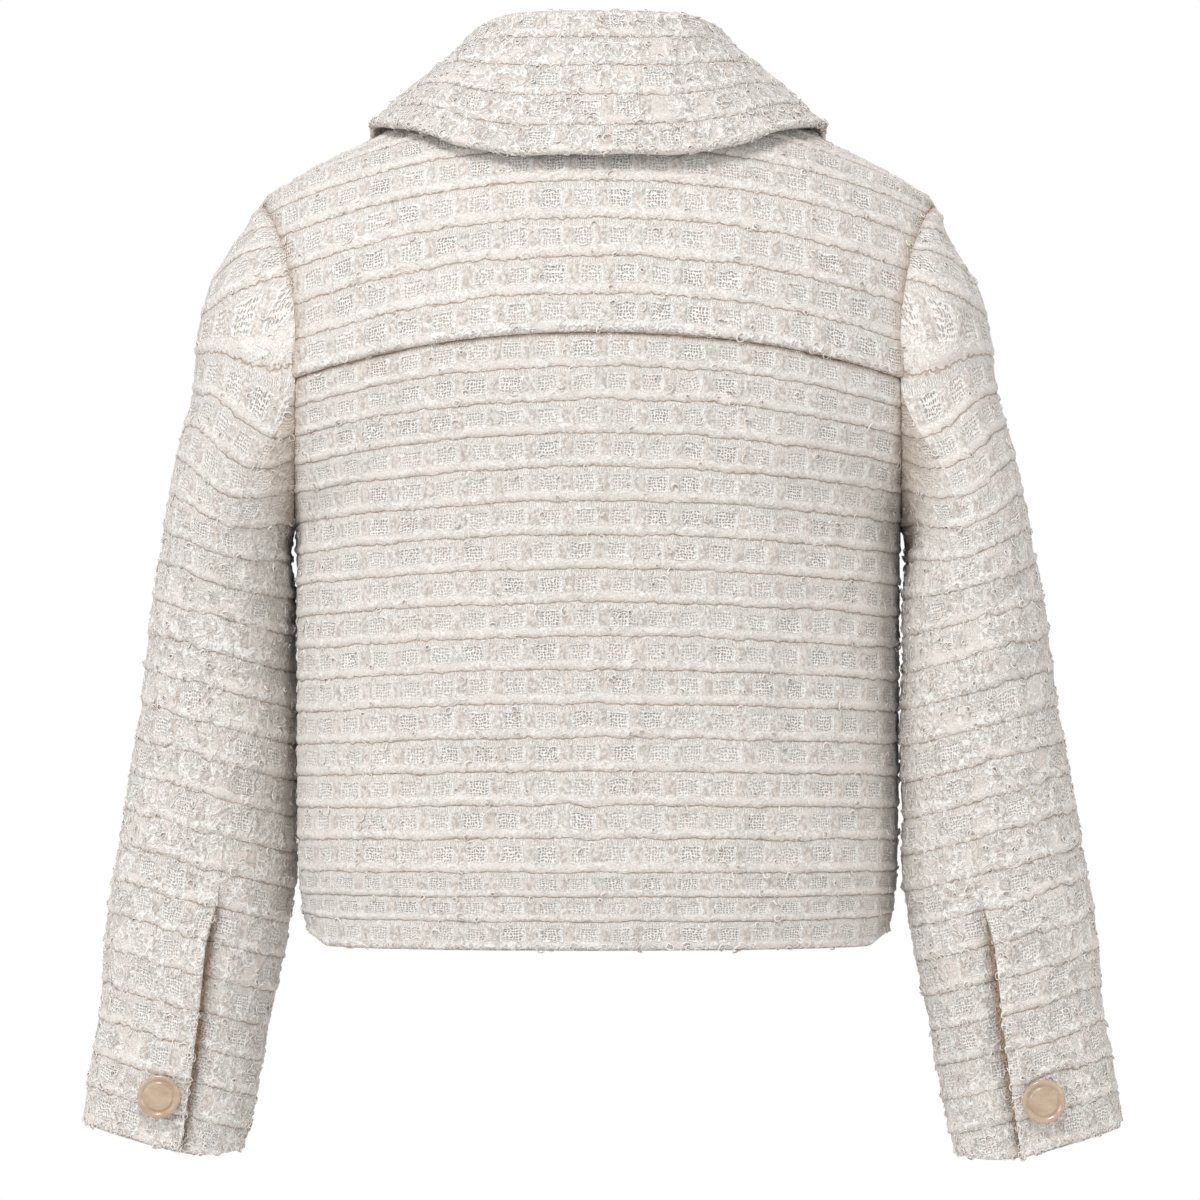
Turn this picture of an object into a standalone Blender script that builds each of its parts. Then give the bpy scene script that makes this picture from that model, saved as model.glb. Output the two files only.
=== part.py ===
"""A cropped tweed jacket, worn open and hollow, standing as on a wearer who is not there.

Every cut piece is its own closed wall: a back panel with a yoke lapped over it, two fronts that
lap at the centre, a two-piece sleeve on each side with a lapped vent at the cuff, a wide
turned-down collar, and buttons. The back faces +Y, the front faces -Y, and +X is the wearer's left.
The origin is the middle of the neck opening, level with the neck seam at the centre back.

Lengths in this file are millimetres, and wall() turns them into metres. A "row" is a line of the
tweed's weave: its level is its height at the centre back or the centre front.
"""

import math
from collections import namedtuple

import bmesh
import bpy
import numpy as np

MM = 0.001

# ---- driving dimensions -------------------------------------------------------------------

CLOTH = 3.0  # thickness of the lined tweed
SEAM_GAP = 0.4  # between two pieces along a seam
ARMHOLE_GAP = 0.8  # between a sleeve and the body, whose edges curve differently
LAP_RISE = 2.1  # how far an upper edge stands off where it laps
LAP_SINK = 2.4  # how far the edge beneath it drops
RAISED_END_GAP = 0.7  # a raised row stops short of the armhole by this share of its rise

HEM_LEVEL = -511.0
YOKE_LEVEL = -148.0  # lower edge of the yoke at the centre back
YOKE_LAP = 14.0  # of the back panel, under the yoke
UNDERARM_LEVEL = -250.0
SHOULDER_TIP_LEVEL = -31.5
NECK_HALF_WIDTH = 72.0
NECK_FRONT_LEVEL = -70.0
FRONT_LAP = 20.0  # each front past the centre front

BODY_PITCH = 19.8  # from groove to groove of the weave, down the body
YOKE_PITCH = 22.5
SLEEVE_PITCH = 21.0
RIB_ABOVE_GROOVE = 7.0  # crest of the thick rib above its groove
RIB_HEIGHT = 0.9
GROOVE_DEPTH = 0.5

HEM_CORNER_LIFT = 6.5  # hem of the side seam above the hem of the back
HEM_CORNER_HEIGHT = 26.0  # reach of that lift up the side
HEM_CORNER_X = (160.0, 174.0)  # where the lift begins and where it is whole
HEM_ROWS = [(HEM_LEVEL + rise, 0.0) for rise in (18, 10, 4, 0)]  # plain turned-up hem
SHOULDER_ROWS = [(level, 0.0) for level in (-6, -12.5, -20, -26, -31.5, -34, -37, -41.5)]

BODY_COLUMNS = 18  # across the whole back
FRONT_COLUMNS = 12
LAP_COLUMNS = (0.0, 20.0, 40.0, 54.0)  # of a front, from its edge
LAP_EASE = 14.0  # over which a front's lap comes level with the rest
DROP_X = 180.0  # half width at which a row hangs by its whole drop

# Rows of the body. edge_x and edge_y are where a row ends: on the side seam below the underarm,
# on the armhole above it, and on the shoulder seam above the shoulder tip. depth is how far the
# row stands out at the centre, roundness the exponent of its oval, drop how far the row hangs at
# DROP_X below its level, and drop_power how late it does so.
BodyRow = namedtuple("BodyRow", "level edge_x edge_y depth roundness drop drop_power")
BACK_ROWS = [
    BodyRow(-511, 173, 0, 116, 2.3, 0, 2.0),
    BodyRow(-497, 176, 0, 118, 2.3, 0, 2.0),
    BodyRow(-460, 179, 0, 118, 2.3, 2, 2.0),
    BodyRow(-400, 180, 0, 118, 2.3, 5, 2.0),
    BodyRow(-330, 180, 0, 120, 2.3, 8, 2.0),
    BodyRow(-250, 181, 0, 122, 2.3, 12, 2.0),
    BodyRow(-240, 181, 24, 122, 2.3, 13, 2.0),
    BodyRow(-225, 180.5, 43, 122, 2.3, 15, 2.0),
    BodyRow(-205, 180, 58, 122, 2.3, 18, 2.1),
    BodyRow(-180, 179.5, 68, 121, 2.3, 22, 2.2),
    BodyRow(-148, 179, 73, 119, 2.3, 26, 2.2),
    BodyRow(-120, 179, 72, 115, 2.3, 27, 2.2),
    BodyRow(-78, 184, 61, 104, 2.3, 28, 2.2),
    BodyRow(-57, 190, 45, 96, 2.2, 28, 2.2),
    BodyRow(-41, 196, 26, 89, 2.08, 28, 2.2),
    BodyRow(-31.5, 201, 0, 85, 1.9, 28, 2.2),
    BodyRow(-24.5, 182, 0, 81, 1.85, 28, 2.2),
    BodyRow(-20, 161, 0, 77.5, 1.85, 28, 2.2),
    BodyRow(-12.3, 128, 0, 71, 1.87, 28, 2.2),
    BodyRow(-5.8, 104, 0, 65.5, 1.93, 28, 2.2),
    BodyRow(0, 72, 0, 58, 2.0, 28, 2.2),
]
FRONT_ROWS = [
    BodyRow(-511, 173, 0, 114, 2.3, 0, 2.0),
    BodyRow(-497, 176, 0, 116, 2.3, 0, 2.0),
    BodyRow(-460, 179, 0, 117, 2.3, 2, 2.0),
    BodyRow(-400, 180, 0, 118, 2.3, 5, 2.0),
    BodyRow(-330, 180, 0, 122.5, 2.3, 8, 2.0),
    BodyRow(-250, 181, 0, 126.6, 2.3, 12, 2.0),
    BodyRow(-240, 180.5, 26, 126.8, 2.3, 13, 2.0),
    BodyRow(-225, 178, 46, 126.4, 2.3, 15, 2.0),
    BodyRow(-205, 176, 59, 125, 2.3, 18, 2.1),
    BodyRow(-180, 174.5, 66, 122, 2.3, 22, 2.2),
    BodyRow(-148, 174.5, 68, 116, 2.3, 26, 2.2),
    BodyRow(-120, 176, 65, 110, 2.3, 27, 2.2),
    BodyRow(-78, 183, 53, 94, 2.3, 28, 2.2),
    BodyRow(-57, 190, 38, 82, 2.2, 28, 2.2),
    BodyRow(-41, 196, 21, 73, 2.08, 28, 2.2),
    BodyRow(-31.5, 201, 0, 66, 1.9, 28, 2.2),
    BodyRow(-24.5, 182, 0, 59, 1.85, 28, 2.2),
    BodyRow(-20, 161, 0, 53, 1.85, 28, 2.2),
    BodyRow(-12.3, 128, 0, 41, 1.87, 28, 2.2),
    BodyRow(-5.8, 104, 0, 30, 1.93, 28, 2.2),
    BodyRow(0, 72, 0, 14, 2.0, 28, 2.2),
]

# The sleeve hangs from the shoulder tip. down runs along the arm, outer is how far its outside
# edge stands out from the tip across the arm, inner is the same for its inside edge, half_depth
# is half its size front to back, and swing the share of the arm's swing that it takes.
SLEEVE_TILT = math.radians(15)  # of the weave's rows, down towards the body
CUFF_DOWN = 562.0
SleeveRow = namedtuple("SleeveRow", "down outer inner half_depth swing")
SLEEVE_ROWS = [
    SleeveRow(0, 0.6, -3, 8, 0.0),
    SleeveRow(5, 2.2, -10, 21, 0.0),
    SleeveRow(18, 5.8, -31, 46, 0.0),
    SleeveRow(37, 12.0, -56, 60, 0.02),
    SleeveRow(64, 17.7, -77, 68, 0.08),
    SleeveRow(88, 17.7, -83, 71, 0.16),
    SleeveRow(125, 13.8, -78, 72, 0.32),
    SleeveRow(150, 12.2, -70, 71.5, 0.45),
    SleeveRow(186, 9.3, -66, 70, 0.64),
    SleeveRow(222, 6.3, -78, 67, 0.82),
    SleeveRow(282, -2.0, -96, 62, 1.0),
    SleeveRow(354, -10.5, -115, 55, 1.0),
    SleeveRow(398, -15.0, -125, 51, 0.97),
    SleeveRow(427, -18.0, -127, 49, 0.94),
    SleeveRow(498, -30.4, -132, 45, 0.86),
    SleeveRow(534, -33.5, -134.5, 43, 0.82),
    SleeveRow(562, -38.2, -135, 42, 0.8),
]
SLEEVE_ROUNDNESS = 2.2
NOTCH_DOWN = 104.0  # where the sleeve's seams meet the armhole
CAP_TURN = 70.0  # above this the cap leaves the body's edge at a ridge, below it at a valley
CAP_TOP_DOWN = 5.0  # the cap's first row reaches this far down on either side of the tip
CAP_LEAN = 0.4  # of the cap's cut edge at the tip, off upright
SEAM_EASE = 75.0  # the armhole's own shape fades out down the sleeve over this length
FRONT_SEAM_ANGLE = math.radians(250)
BACK_SEAM_ANGLE = math.radians(99)
VENT_SEAM_ANGLE = math.radians(105)  # of the back seam at the cuff
VENT_TOP_DOWN = 414.0
VENT_OPEN = 3.0  # how far the vent's edge stands off at the middle
UNDER_LAP = 20.0  # of the under sleeve, beneath the upper sleeve's back edge
UNDER_LAP_START = 12.0  # how far below the armhole that lap begins
STRAIGHT_DOWN = 244.0  # the under sleeve's rows run square to the arm from here down
PLAIN_ROWS = 8  # of the under sleeve, at the armhole
CUFF_INNER_RISE = 9.0  # the under sleeve's cuff is this much shorter at the body
UPPER_COLUMNS = 13
EDGE_BAND = 30.0  # the upper sleeve's last three columns, over the lap
UNDER_COLUMNS = 9

# One entry for each sleeve: side is +1 for the wearer's left, and swing is how far the arm hangs
# to the back (+) or to the front (-). cap_out widens the top of the sleeve.
Arm = namedtuple("Arm", "name side swing cap_out")
ARMS = [Arm("left", 1, -32.0, 0.0), Arm("right", -1, 28.0, -7.0)]

# The collar, from the centre back (along = 0) round to the centre front (along = 1). The fold
# line is given in x, y and z. The outer edge is given by the place on the body beneath it, in x
# and y, and its lift off that place.
COLLAR_CLOTH = 4.2  # two layers of the tweed
COLLAR_COLUMNS = 30
COLLAR_END_X = 5.0
FOLD_RADIUS = 5.4
STAND_GAP = 0.7  # between the neck seam and the collar's stand
STAND_FRONT_GAP = 1.5  # added to it off the cloth of the fronts
FALL_BULGE = 4.5
FALL_ROWS = 7
CollarPoint = namedtuple("CollarPoint", "along fold_x fold_y fold_z edge_x edge_y lift")
COLLAR = [
    CollarPoint(0.00, 0, 65, 42, 0, 91.5, 9.0),
    CollarPoint(0.10, 24, 62, 42, 37, 90.0, 9.0),
    CollarPoint(0.20, 46, 53, 41.5, 74, 82.0, 8.5),
    CollarPoint(0.29, 63, 36, 38, 104, 64.0, 8.0),
    CollarPoint(0.37, 73, 16, 31.5, 125, 34.0, 7.5),
    CollarPoint(0.45, 78, -6, 22, 133, -4.0, 7.0),
    CollarPoint(0.56, 77, -38, 7, 134, -46.0, 7.5),
    CollarPoint(0.75, 58, -74, -22, 114, -84.5, 8.5),
    CollarPoint(0.90, 26, -93, -50, 86, -105.5, 10.0),
    CollarPoint(1.00, 6, -99, -61, 64, -116.0, 11.0),
]

# Buttons: a turned disc with a rounded rim, a groove inside it and a raised plain middle.
BUTTON_RADIUS = 13.0
BUTTON_SIDES = 16
ButtonRing = namedtuple("ButtonRing", "radius height")
BUTTON_PROFILE = [
    ButtonRing(4.5, 0.0),
    ButtonRing(4.5, 1.2),
    ButtonRing(13.0, 2.6),
    ButtonRing(12.0, 5.0),
    ButtonRing(9.0, 4.2),
    ButtonRing(7.6, 4.8),
]
BUTTON_SEAT = 0.35  # gap between a button's shank and the cloth
CUFF_BUTTON_DOWN = 532.0
CUFF_BUTTON_ANGLE = math.radians(86)
FRONT_BUTTON_LEVELS = [-96.0, -180.6, -259.8, -339.0, -418.2]  # on crests of the weave

TWEED = ("ivory tweed", (0.80, 0.76, 0.71), 0.9)
HORN = ("tan button", (0.66, 0.49, 0.36), 0.35)

# ---- small tools --------------------------------------------------------------------------


def curve_through(rows, key, value):
    """A smooth function through two columns of a table that never overshoots its own values."""
    xs = np.array([getattr(row, key) for row in rows], float)
    ys = np.array([getattr(row, value) for row in rows], float)
    steps = np.diff(xs)
    slopes = np.diff(ys) / steps
    tangents = np.zeros(len(xs))
    for i in range(1, len(xs) - 1):
        if slopes[i - 1] * slopes[i] > 0:
            left = 2 * steps[i] + steps[i - 1]
            right = steps[i] + 2 * steps[i - 1]
            tangents[i] = (left + right) / (left / slopes[i - 1] + right / slopes[i])
    tangents[0] = slopes[0]
    tangents[-1] = slopes[-1]

    def value_at(x):
        x = min(max(x, xs[0]), xs[-1])
        i = min(max(int(np.searchsorted(xs, x)) - 1, 0), len(steps) - 1)
        t = (x - xs[i]) / steps[i]
        start = (1 + 2 * t) * (1 - t) ** 2 * ys[i] + t * (1 - t) ** 2 * steps[i] * tangents[i]
        end = t * t * (3 - 2 * t) * ys[i + 1] + t * t * (t - 1) * steps[i] * tangents[i + 1]
        return start + end

    return value_at


def smooth_step(value, low, high):
    t = min(max((value - low) / (high - low), 0.0), 1.0)
    return t * t * (3 - 2 * t)


def unit(vector):
    return vector / np.linalg.norm(vector)


def signed_power(value, power):
    return math.copysign(abs(value) ** power, value)


def along_line(points, shares):
    """Points at these shares of a polyline's length."""
    points = np.array(points)
    lengths = np.concatenate([[0], np.cumsum(np.linalg.norm(np.diff(points, axis=0), axis=1))])
    at = np.array(shares) * lengths[-1]
    return np.stack([np.interp(at, lengths, points[:, k]) for k in range(points.shape[1])], axis=1)


def normal_of(surface, u, v, du, dv):
    """Unit normal of surface(u, v), by small steps either way."""
    along_u = surface(u + du, v) - surface(u - du, v)
    along_v = surface(u, v + dv) - surface(u, v - dv)
    return unit(np.cross(along_u, along_v))


def row_levels(top, bottom, pitch, first_groove):
    """(level, relief) for a groove and a crest in each row of the weave, from top to bottom."""
    rows = []
    count = int((top - bottom) / pitch) + 2
    for k in range(-count, count + 1):
        groove = first_groove - k * pitch
        rows.append((groove + RIB_ABOVE_GROOVE, RIB_HEIGHT))
        rows.append((groove, -GROOVE_DEPTH))
    clear = 0.2 * pitch
    rows = [row for row in rows if bottom + clear < row[0] < top - clear]
    return sorted(rows, reverse=True)


def material(slot):
    name, colour, roughness = slot
    found = bpy.data.materials.get(name)
    if found:
        return found
    made = bpy.data.materials.new(name)
    made.use_nodes = True
    shader = made.node_tree.nodes["Principled BSDF"]
    shader.inputs["Base Color"].default_value = (*colour, 1.0)
    shader.inputs["Roughness"].default_value = roughness
    shader.inputs["Metallic"].default_value = 0.0
    return made


def add_mesh(name, points, faces, slot):
    mesh = bpy.data.meshes.new(name)
    bm = bmesh.new()
    verts = [bm.verts.new(tuple(point * MM)) for point in points]
    for face in faces:
        bm.faces.new([verts[i] for i in face])
    bmesh.ops.recalc_face_normals(bm, faces=bm.faces)
    bm.to_mesh(mesh)
    bm.free()
    mesh.shade_smooth()
    mesh.set_sharp_from_angle(angle=math.radians(50))
    piece = bpy.data.objects.new(name, mesh)
    piece.data.materials.append(material(slot))
    bpy.context.scene.collection.objects.link(piece)
    return piece


def wall(name, outer, inner, kept_rows):
    """A closed cloth wall between two grids of points. The inner one keeps only some rows."""
    rows, columns = outer.shape[:2]
    points = list(outer.reshape(-1, 3))
    inner_start = {}
    for row in kept_rows:
        inner_start[row] = len(points)
        points.extend(inner[row])

    def out(row, column):
        return row * columns + column

    def back(row, column):
        return inner_start[row] + column

    faces = []
    for i in range(rows - 1):
        for j in range(columns - 1):
            faces.append([out(i, j), out(i + 1, j), out(i + 1, j + 1), out(i, j + 1)])
    for low, high in zip(kept_rows, kept_rows[1:]):
        for j in range(columns - 1):
            faces.append([back(low, j), back(low, j + 1), back(high, j + 1), back(high, j)])
    for j in range(columns - 1):
        first, last = kept_rows[0], kept_rows[-1]
        faces.append([out(first, j), out(first, j + 1), back(first, j + 1), back(first, j)])
        faces.append([out(last, j), back(last, j), back(last, j + 1), out(last, j + 1)])
    for j, flip in ((0, False), (columns - 1, True)):
        for low, high in zip(kept_rows, kept_rows[1:]):
            middle = (low + high) // 2
            side = [[back(low, j), out(i + 1, j), out(i, j)] for i in range(low, middle)]
            side.append([back(low, j), back(high, j), out(middle, j)])
            side += [[back(high, j), out(i + 1, j), out(i, j)] for i in range(middle, high)]
            faces += [face[::-1] for face in side] if flip else side
    return add_mesh(name, points, faces, TWEED)


def every(rows, step):
    """Row numbers from 0 to the last, step apart."""
    kept = list(range(0, rows - 1, step))
    if len(kept) > 1 and rows - 1 - kept[-1] < step / 2:
        kept.pop()
    return kept + [rows - 1]


# ---- the body -----------------------------------------------------------------------------


class BodyHalf:
    """The back (facing = 1) or the front (facing = -1) of the body, as a function."""

    def __init__(self, rows, facing):
        self.facing = facing
        for column in BodyRow._fields[1:]:
            setattr(self, column, curve_through(rows, "level", column))

    def half_width(self, level):
        """Half the width of the whole oval that a row is part of."""
        power = self.roundness(level)
        cut = (self.edge_y(level) / self.depth(level)) ** power
        return self.edge_x(level) / (1 - cut) ** (1 / power)

    def point(self, level, angle):
        """angle is 0 at the side and 90 degrees at the centre, in radians, for +X."""
        power = self.roundness(level)
        x = self.half_width(level) * signed_power(math.cos(angle), 2 / power)
        y = self.depth(level) * signed_power(math.sin(angle), 2 / power)
        drop = self.drop(level) * (abs(x) / DROP_X) ** self.drop_power(level)
        z = level - drop + self.hem_lift(level, x)
        return np.array([x, self.facing * y, z])

    def hem_lift(self, level, x):
        near_hem = smooth_step(HEM_LEVEL + HEM_CORNER_HEIGHT - level, 0, HEM_CORNER_HEIGHT)
        return HEM_CORNER_LIFT * near_hem * smooth_step(abs(x), *HEM_CORNER_X)

    def normal(self, level, angle):
        normal = normal_of(self.point, level, angle, 3.0, 0.03)
        outward = np.array([math.cos(angle), self.facing * math.sin(angle), 0.25])
        return normal if np.dot(normal, outward) > 0 else -normal

    def edge_angle(self, level):
        power = self.roundness(level)
        return math.asin(min((self.edge_y(level) / self.depth(level)) ** (power / 2), 1.0))

    def angle_of_x(self, level, x):
        power = self.roundness(level)
        share = min(abs(x) / self.half_width(level), 1.0)
        angle = math.acos(share ** (power / 2))
        return angle if x >= 0 else math.pi - angle

    def row(self, level, start_angle, columns, gap_start, gap_end, fixed=()):
        """Angles along a row, from start_angle to its end.

        The first ones lie at the fixed distances, and the rest are evenly spaced.
        """
        end_angle = self.edge_angle(level)
        angles = np.linspace(start_angle, end_angle, 160)
        line = np.array([self.point(level, a) for a in angles])
        lengths = np.concatenate([[0], np.cumsum(np.linalg.norm(np.diff(line, axis=0), axis=1))])
        low = fixed[-1] if fixed else gap_start
        high = lengths[-1] - gap_end
        even = np.linspace(low, high, columns - max(len(fixed) - 1, 0))
        return np.interp(np.concatenate([fixed[:-1], even]), lengths, angles)


BACK = BodyHalf(BACK_ROWS, 1)
FRONT = BodyHalf(FRONT_ROWS, -1)


def neck_front_x(level):
    """Half the width of the neck opening at this level of the front."""
    down = min(max(level / NECK_FRONT_LEVEL, 0.0), 1.0)
    return NECK_HALF_WIDTH * (1 - down**2.2) ** (1 / 2.2)


def body_grids(half, rows, start_of, columns, side, offset_of):
    """Outer and inner points of a body piece. rows holds (level, relief) from the top down.

    start_of(level) gives a row's first angle, its gap there and its fixed distances, and
    offset_of(level, point) how far the cloth stands off the body's form.
    """
    outer = np.zeros((len(rows), columns, 3))
    inner = np.zeros_like(outer)
    for i, (level, relief) in enumerate(rows):
        start, gap_start, fixed = start_of(level)
        risen = max(offset_of(level, half.point(level, half.edge_angle(level))), 0.0)
        gap_end = SEAM_GAP / 2
        if level > UNDERARM_LEVEL:
            gap_end += RAISED_END_GAP * risen
        angles = half.row(level, start, columns, gap_start, gap_end, fixed)
        for j, angle in enumerate(angles):
            base = half.point(level, angle)
            normal = half.normal(level, angle)
            at_edge = j in (0, columns - 1)
            offset = offset_of(level, base)
            height = 0.0 if at_edge or offset < 0 else relief
            outer[i, j] = base + normal * (offset + height)
            inner[i, j] = base + normal * (offset - CLOTH)
    outer[:, :, 0] *= side
    inner[:, :, 0] *= side
    return outer, inner


def mirrored_whole(grid):
    """A half grid from the centre to the wearer's left, made whole."""
    other = grid[:, :0:-1].copy()
    other[:, :, 0] *= -1
    return np.concatenate([other, grid], axis=1)


def back_start(level):
    return math.pi / 2, 0.0, ()


def add_back():
    lap_top = YOKE_LEVEL + YOKE_LAP
    rows = [(lap_top, 0.0), (YOKE_LEVEL + 2.0, 0.0)]
    rows += row_levels(YOKE_LEVEL - 2, HEM_LEVEL + 20, BODY_PITCH, YOKE_LEVEL)
    rows += HEM_ROWS

    def sink(level, base):
        return -LAP_SINK * smooth_step(level, YOKE_LEVEL - 7, YOKE_LEVEL + 1)

    columns = BODY_COLUMNS // 2 + 1
    outer, inner = body_grids(BACK, rows, back_start, columns, 1, sink)
    kept = [0, 1] + [k + 2 for k in every(len(rows) - 2, 4)]
    wall("back_panel", mirrored_whole(outer), mirrored_whole(inner), kept)


def add_yoke():
    rows = [(0.0, 0.0)] + SHOULDER_ROWS
    rows += row_levels(SHOULDER_ROWS[-1][0], YOKE_LEVEL, YOKE_PITCH, YOKE_LEVEL)
    rows.append((YOKE_LEVEL, 0.0))

    def rise(level, base):
        return LAP_RISE * (1 - smooth_step(level, YOKE_LEVEL + YOKE_LAP, YOKE_LEVEL + 30))

    columns = BODY_COLUMNS // 2 + 1
    outer, inner = body_grids(BACK, rows, back_start, columns, 1, rise)
    lap_start = len([row for row in rows if row[0] > YOKE_LEVEL + YOKE_LAP + 20])
    kept = list(range(10)) + list(range(11, lap_start, 2)) + list(range(lap_start, len(rows)))
    wall("back_yoke", mirrored_whole(outer), mirrored_whole(inner), kept)


def add_front(name, side, over):
    """over is True for the front that lies on top at the centre."""

    def start_of(level):
        if level > NECK_FRONT_LEVEL:
            return FRONT.angle_of_x(level, neck_front_x(level)), SEAM_GAP, ()
        return FRONT.angle_of_x(level, -FRONT_LAP), 0.0, LAP_COLUMNS

    def lap(level, base):
        in_lap = smooth_step(-base[0], -FRONT_LAP - LAP_EASE, -FRONT_LAP)
        return (LAP_RISE if over else -LAP_SINK) * in_lap

    rows = [(-3.0, 0.0)] + SHOULDER_ROWS
    rows += row_levels(SHOULDER_ROWS[-1][0], NECK_FRONT_LEVEL, YOKE_PITCH, YOKE_LEVEL)
    rows += [(NECK_FRONT_LEVEL + 1.5, 0.0), (NECK_FRONT_LEVEL - 0.5, 0.0)]
    rows += row_levels(NECK_FRONT_LEVEL, YOKE_LEVEL + 1, YOKE_PITCH, YOKE_LEVEL)
    rows += row_levels(YOKE_LEVEL + 1, HEM_LEVEL + 20, BODY_PITCH, YOKE_LEVEL)
    rows += HEM_ROWS
    outer, inner = body_grids(FRONT, rows, start_of, FRONT_COLUMNS, side, lap)
    split = [k for k, row in enumerate(rows) if row[0] == NECK_FRONT_LEVEL - 0.5][0]
    kept = list(range(split + 1)) + [k + split for k in every(len(rows) - split, 4)[1:]]
    wall(name, outer, inner, kept)


# ---- the sleeves --------------------------------------------------------------------------

DOWN_ARM = np.array([math.sin(SLEEVE_TILT), 0, -math.cos(SLEEVE_TILT)])
ACROSS_ARM = np.array([math.cos(SLEEVE_TILT), 0, math.sin(SLEEVE_TILT)])
SHOULDER_TIP = BACK.point(SHOULDER_TIP_LEVEL, 0.0)
SLEEVE = {c: curve_through(SLEEVE_ROWS, "down", c) for c in SleeveRow._fields[1:]}


def down_of(point):
    return float(np.dot(point - SHOULDER_TIP, DOWN_ARM))


def armhole_table(half):
    """(distances down the arm, levels) of the armhole's edge on one half of the body."""
    levels = np.linspace(SHOULDER_TIP_LEVEL, UNDERARM_LEVEL, 220)
    downs = [down_of(half.point(level, half.edge_angle(level))) for level in levels]
    return np.maximum.accumulate(downs), levels


ARMHOLES = {1: armhole_table(BACK), -1: armhole_table(FRONT)}
HALVES = {1: BACK, -1: FRONT}


def armhole_at(facing, down):
    """Point and body normal of the armhole's edge, this far down the arm."""
    downs, levels = ARMHOLES[facing]
    level = float(np.interp(down, downs, levels))
    half = HALVES[facing]
    angle = half.edge_angle(level)
    return half.point(level, angle), half.normal(level, angle)


def clear_of_body(down):
    """The step from the armhole's edge to the cap's, this far down the arm."""
    near_tip = 1 - smooth_step(down, 20, 60)
    return ARMHOLE_GAP * (ACROSS_ARM * (1 + 0.5 * near_tip) + DOWN_ARM * near_tip)


def cap_top():
    """Points of the cap's cut edge where it runs over the shoulder tip, front to back."""
    downs = np.linspace(0, CAP_TOP_DOWN, 30)
    arc = [armhole_at(-1, down)[0] for down in downs[::-1]]
    arc += [armhole_at(1, down)[0] for down in downs]
    return along_line(arc, np.linspace(0, 1, UPPER_COLUMNS)) + clear_of_body(0.0)


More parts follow.
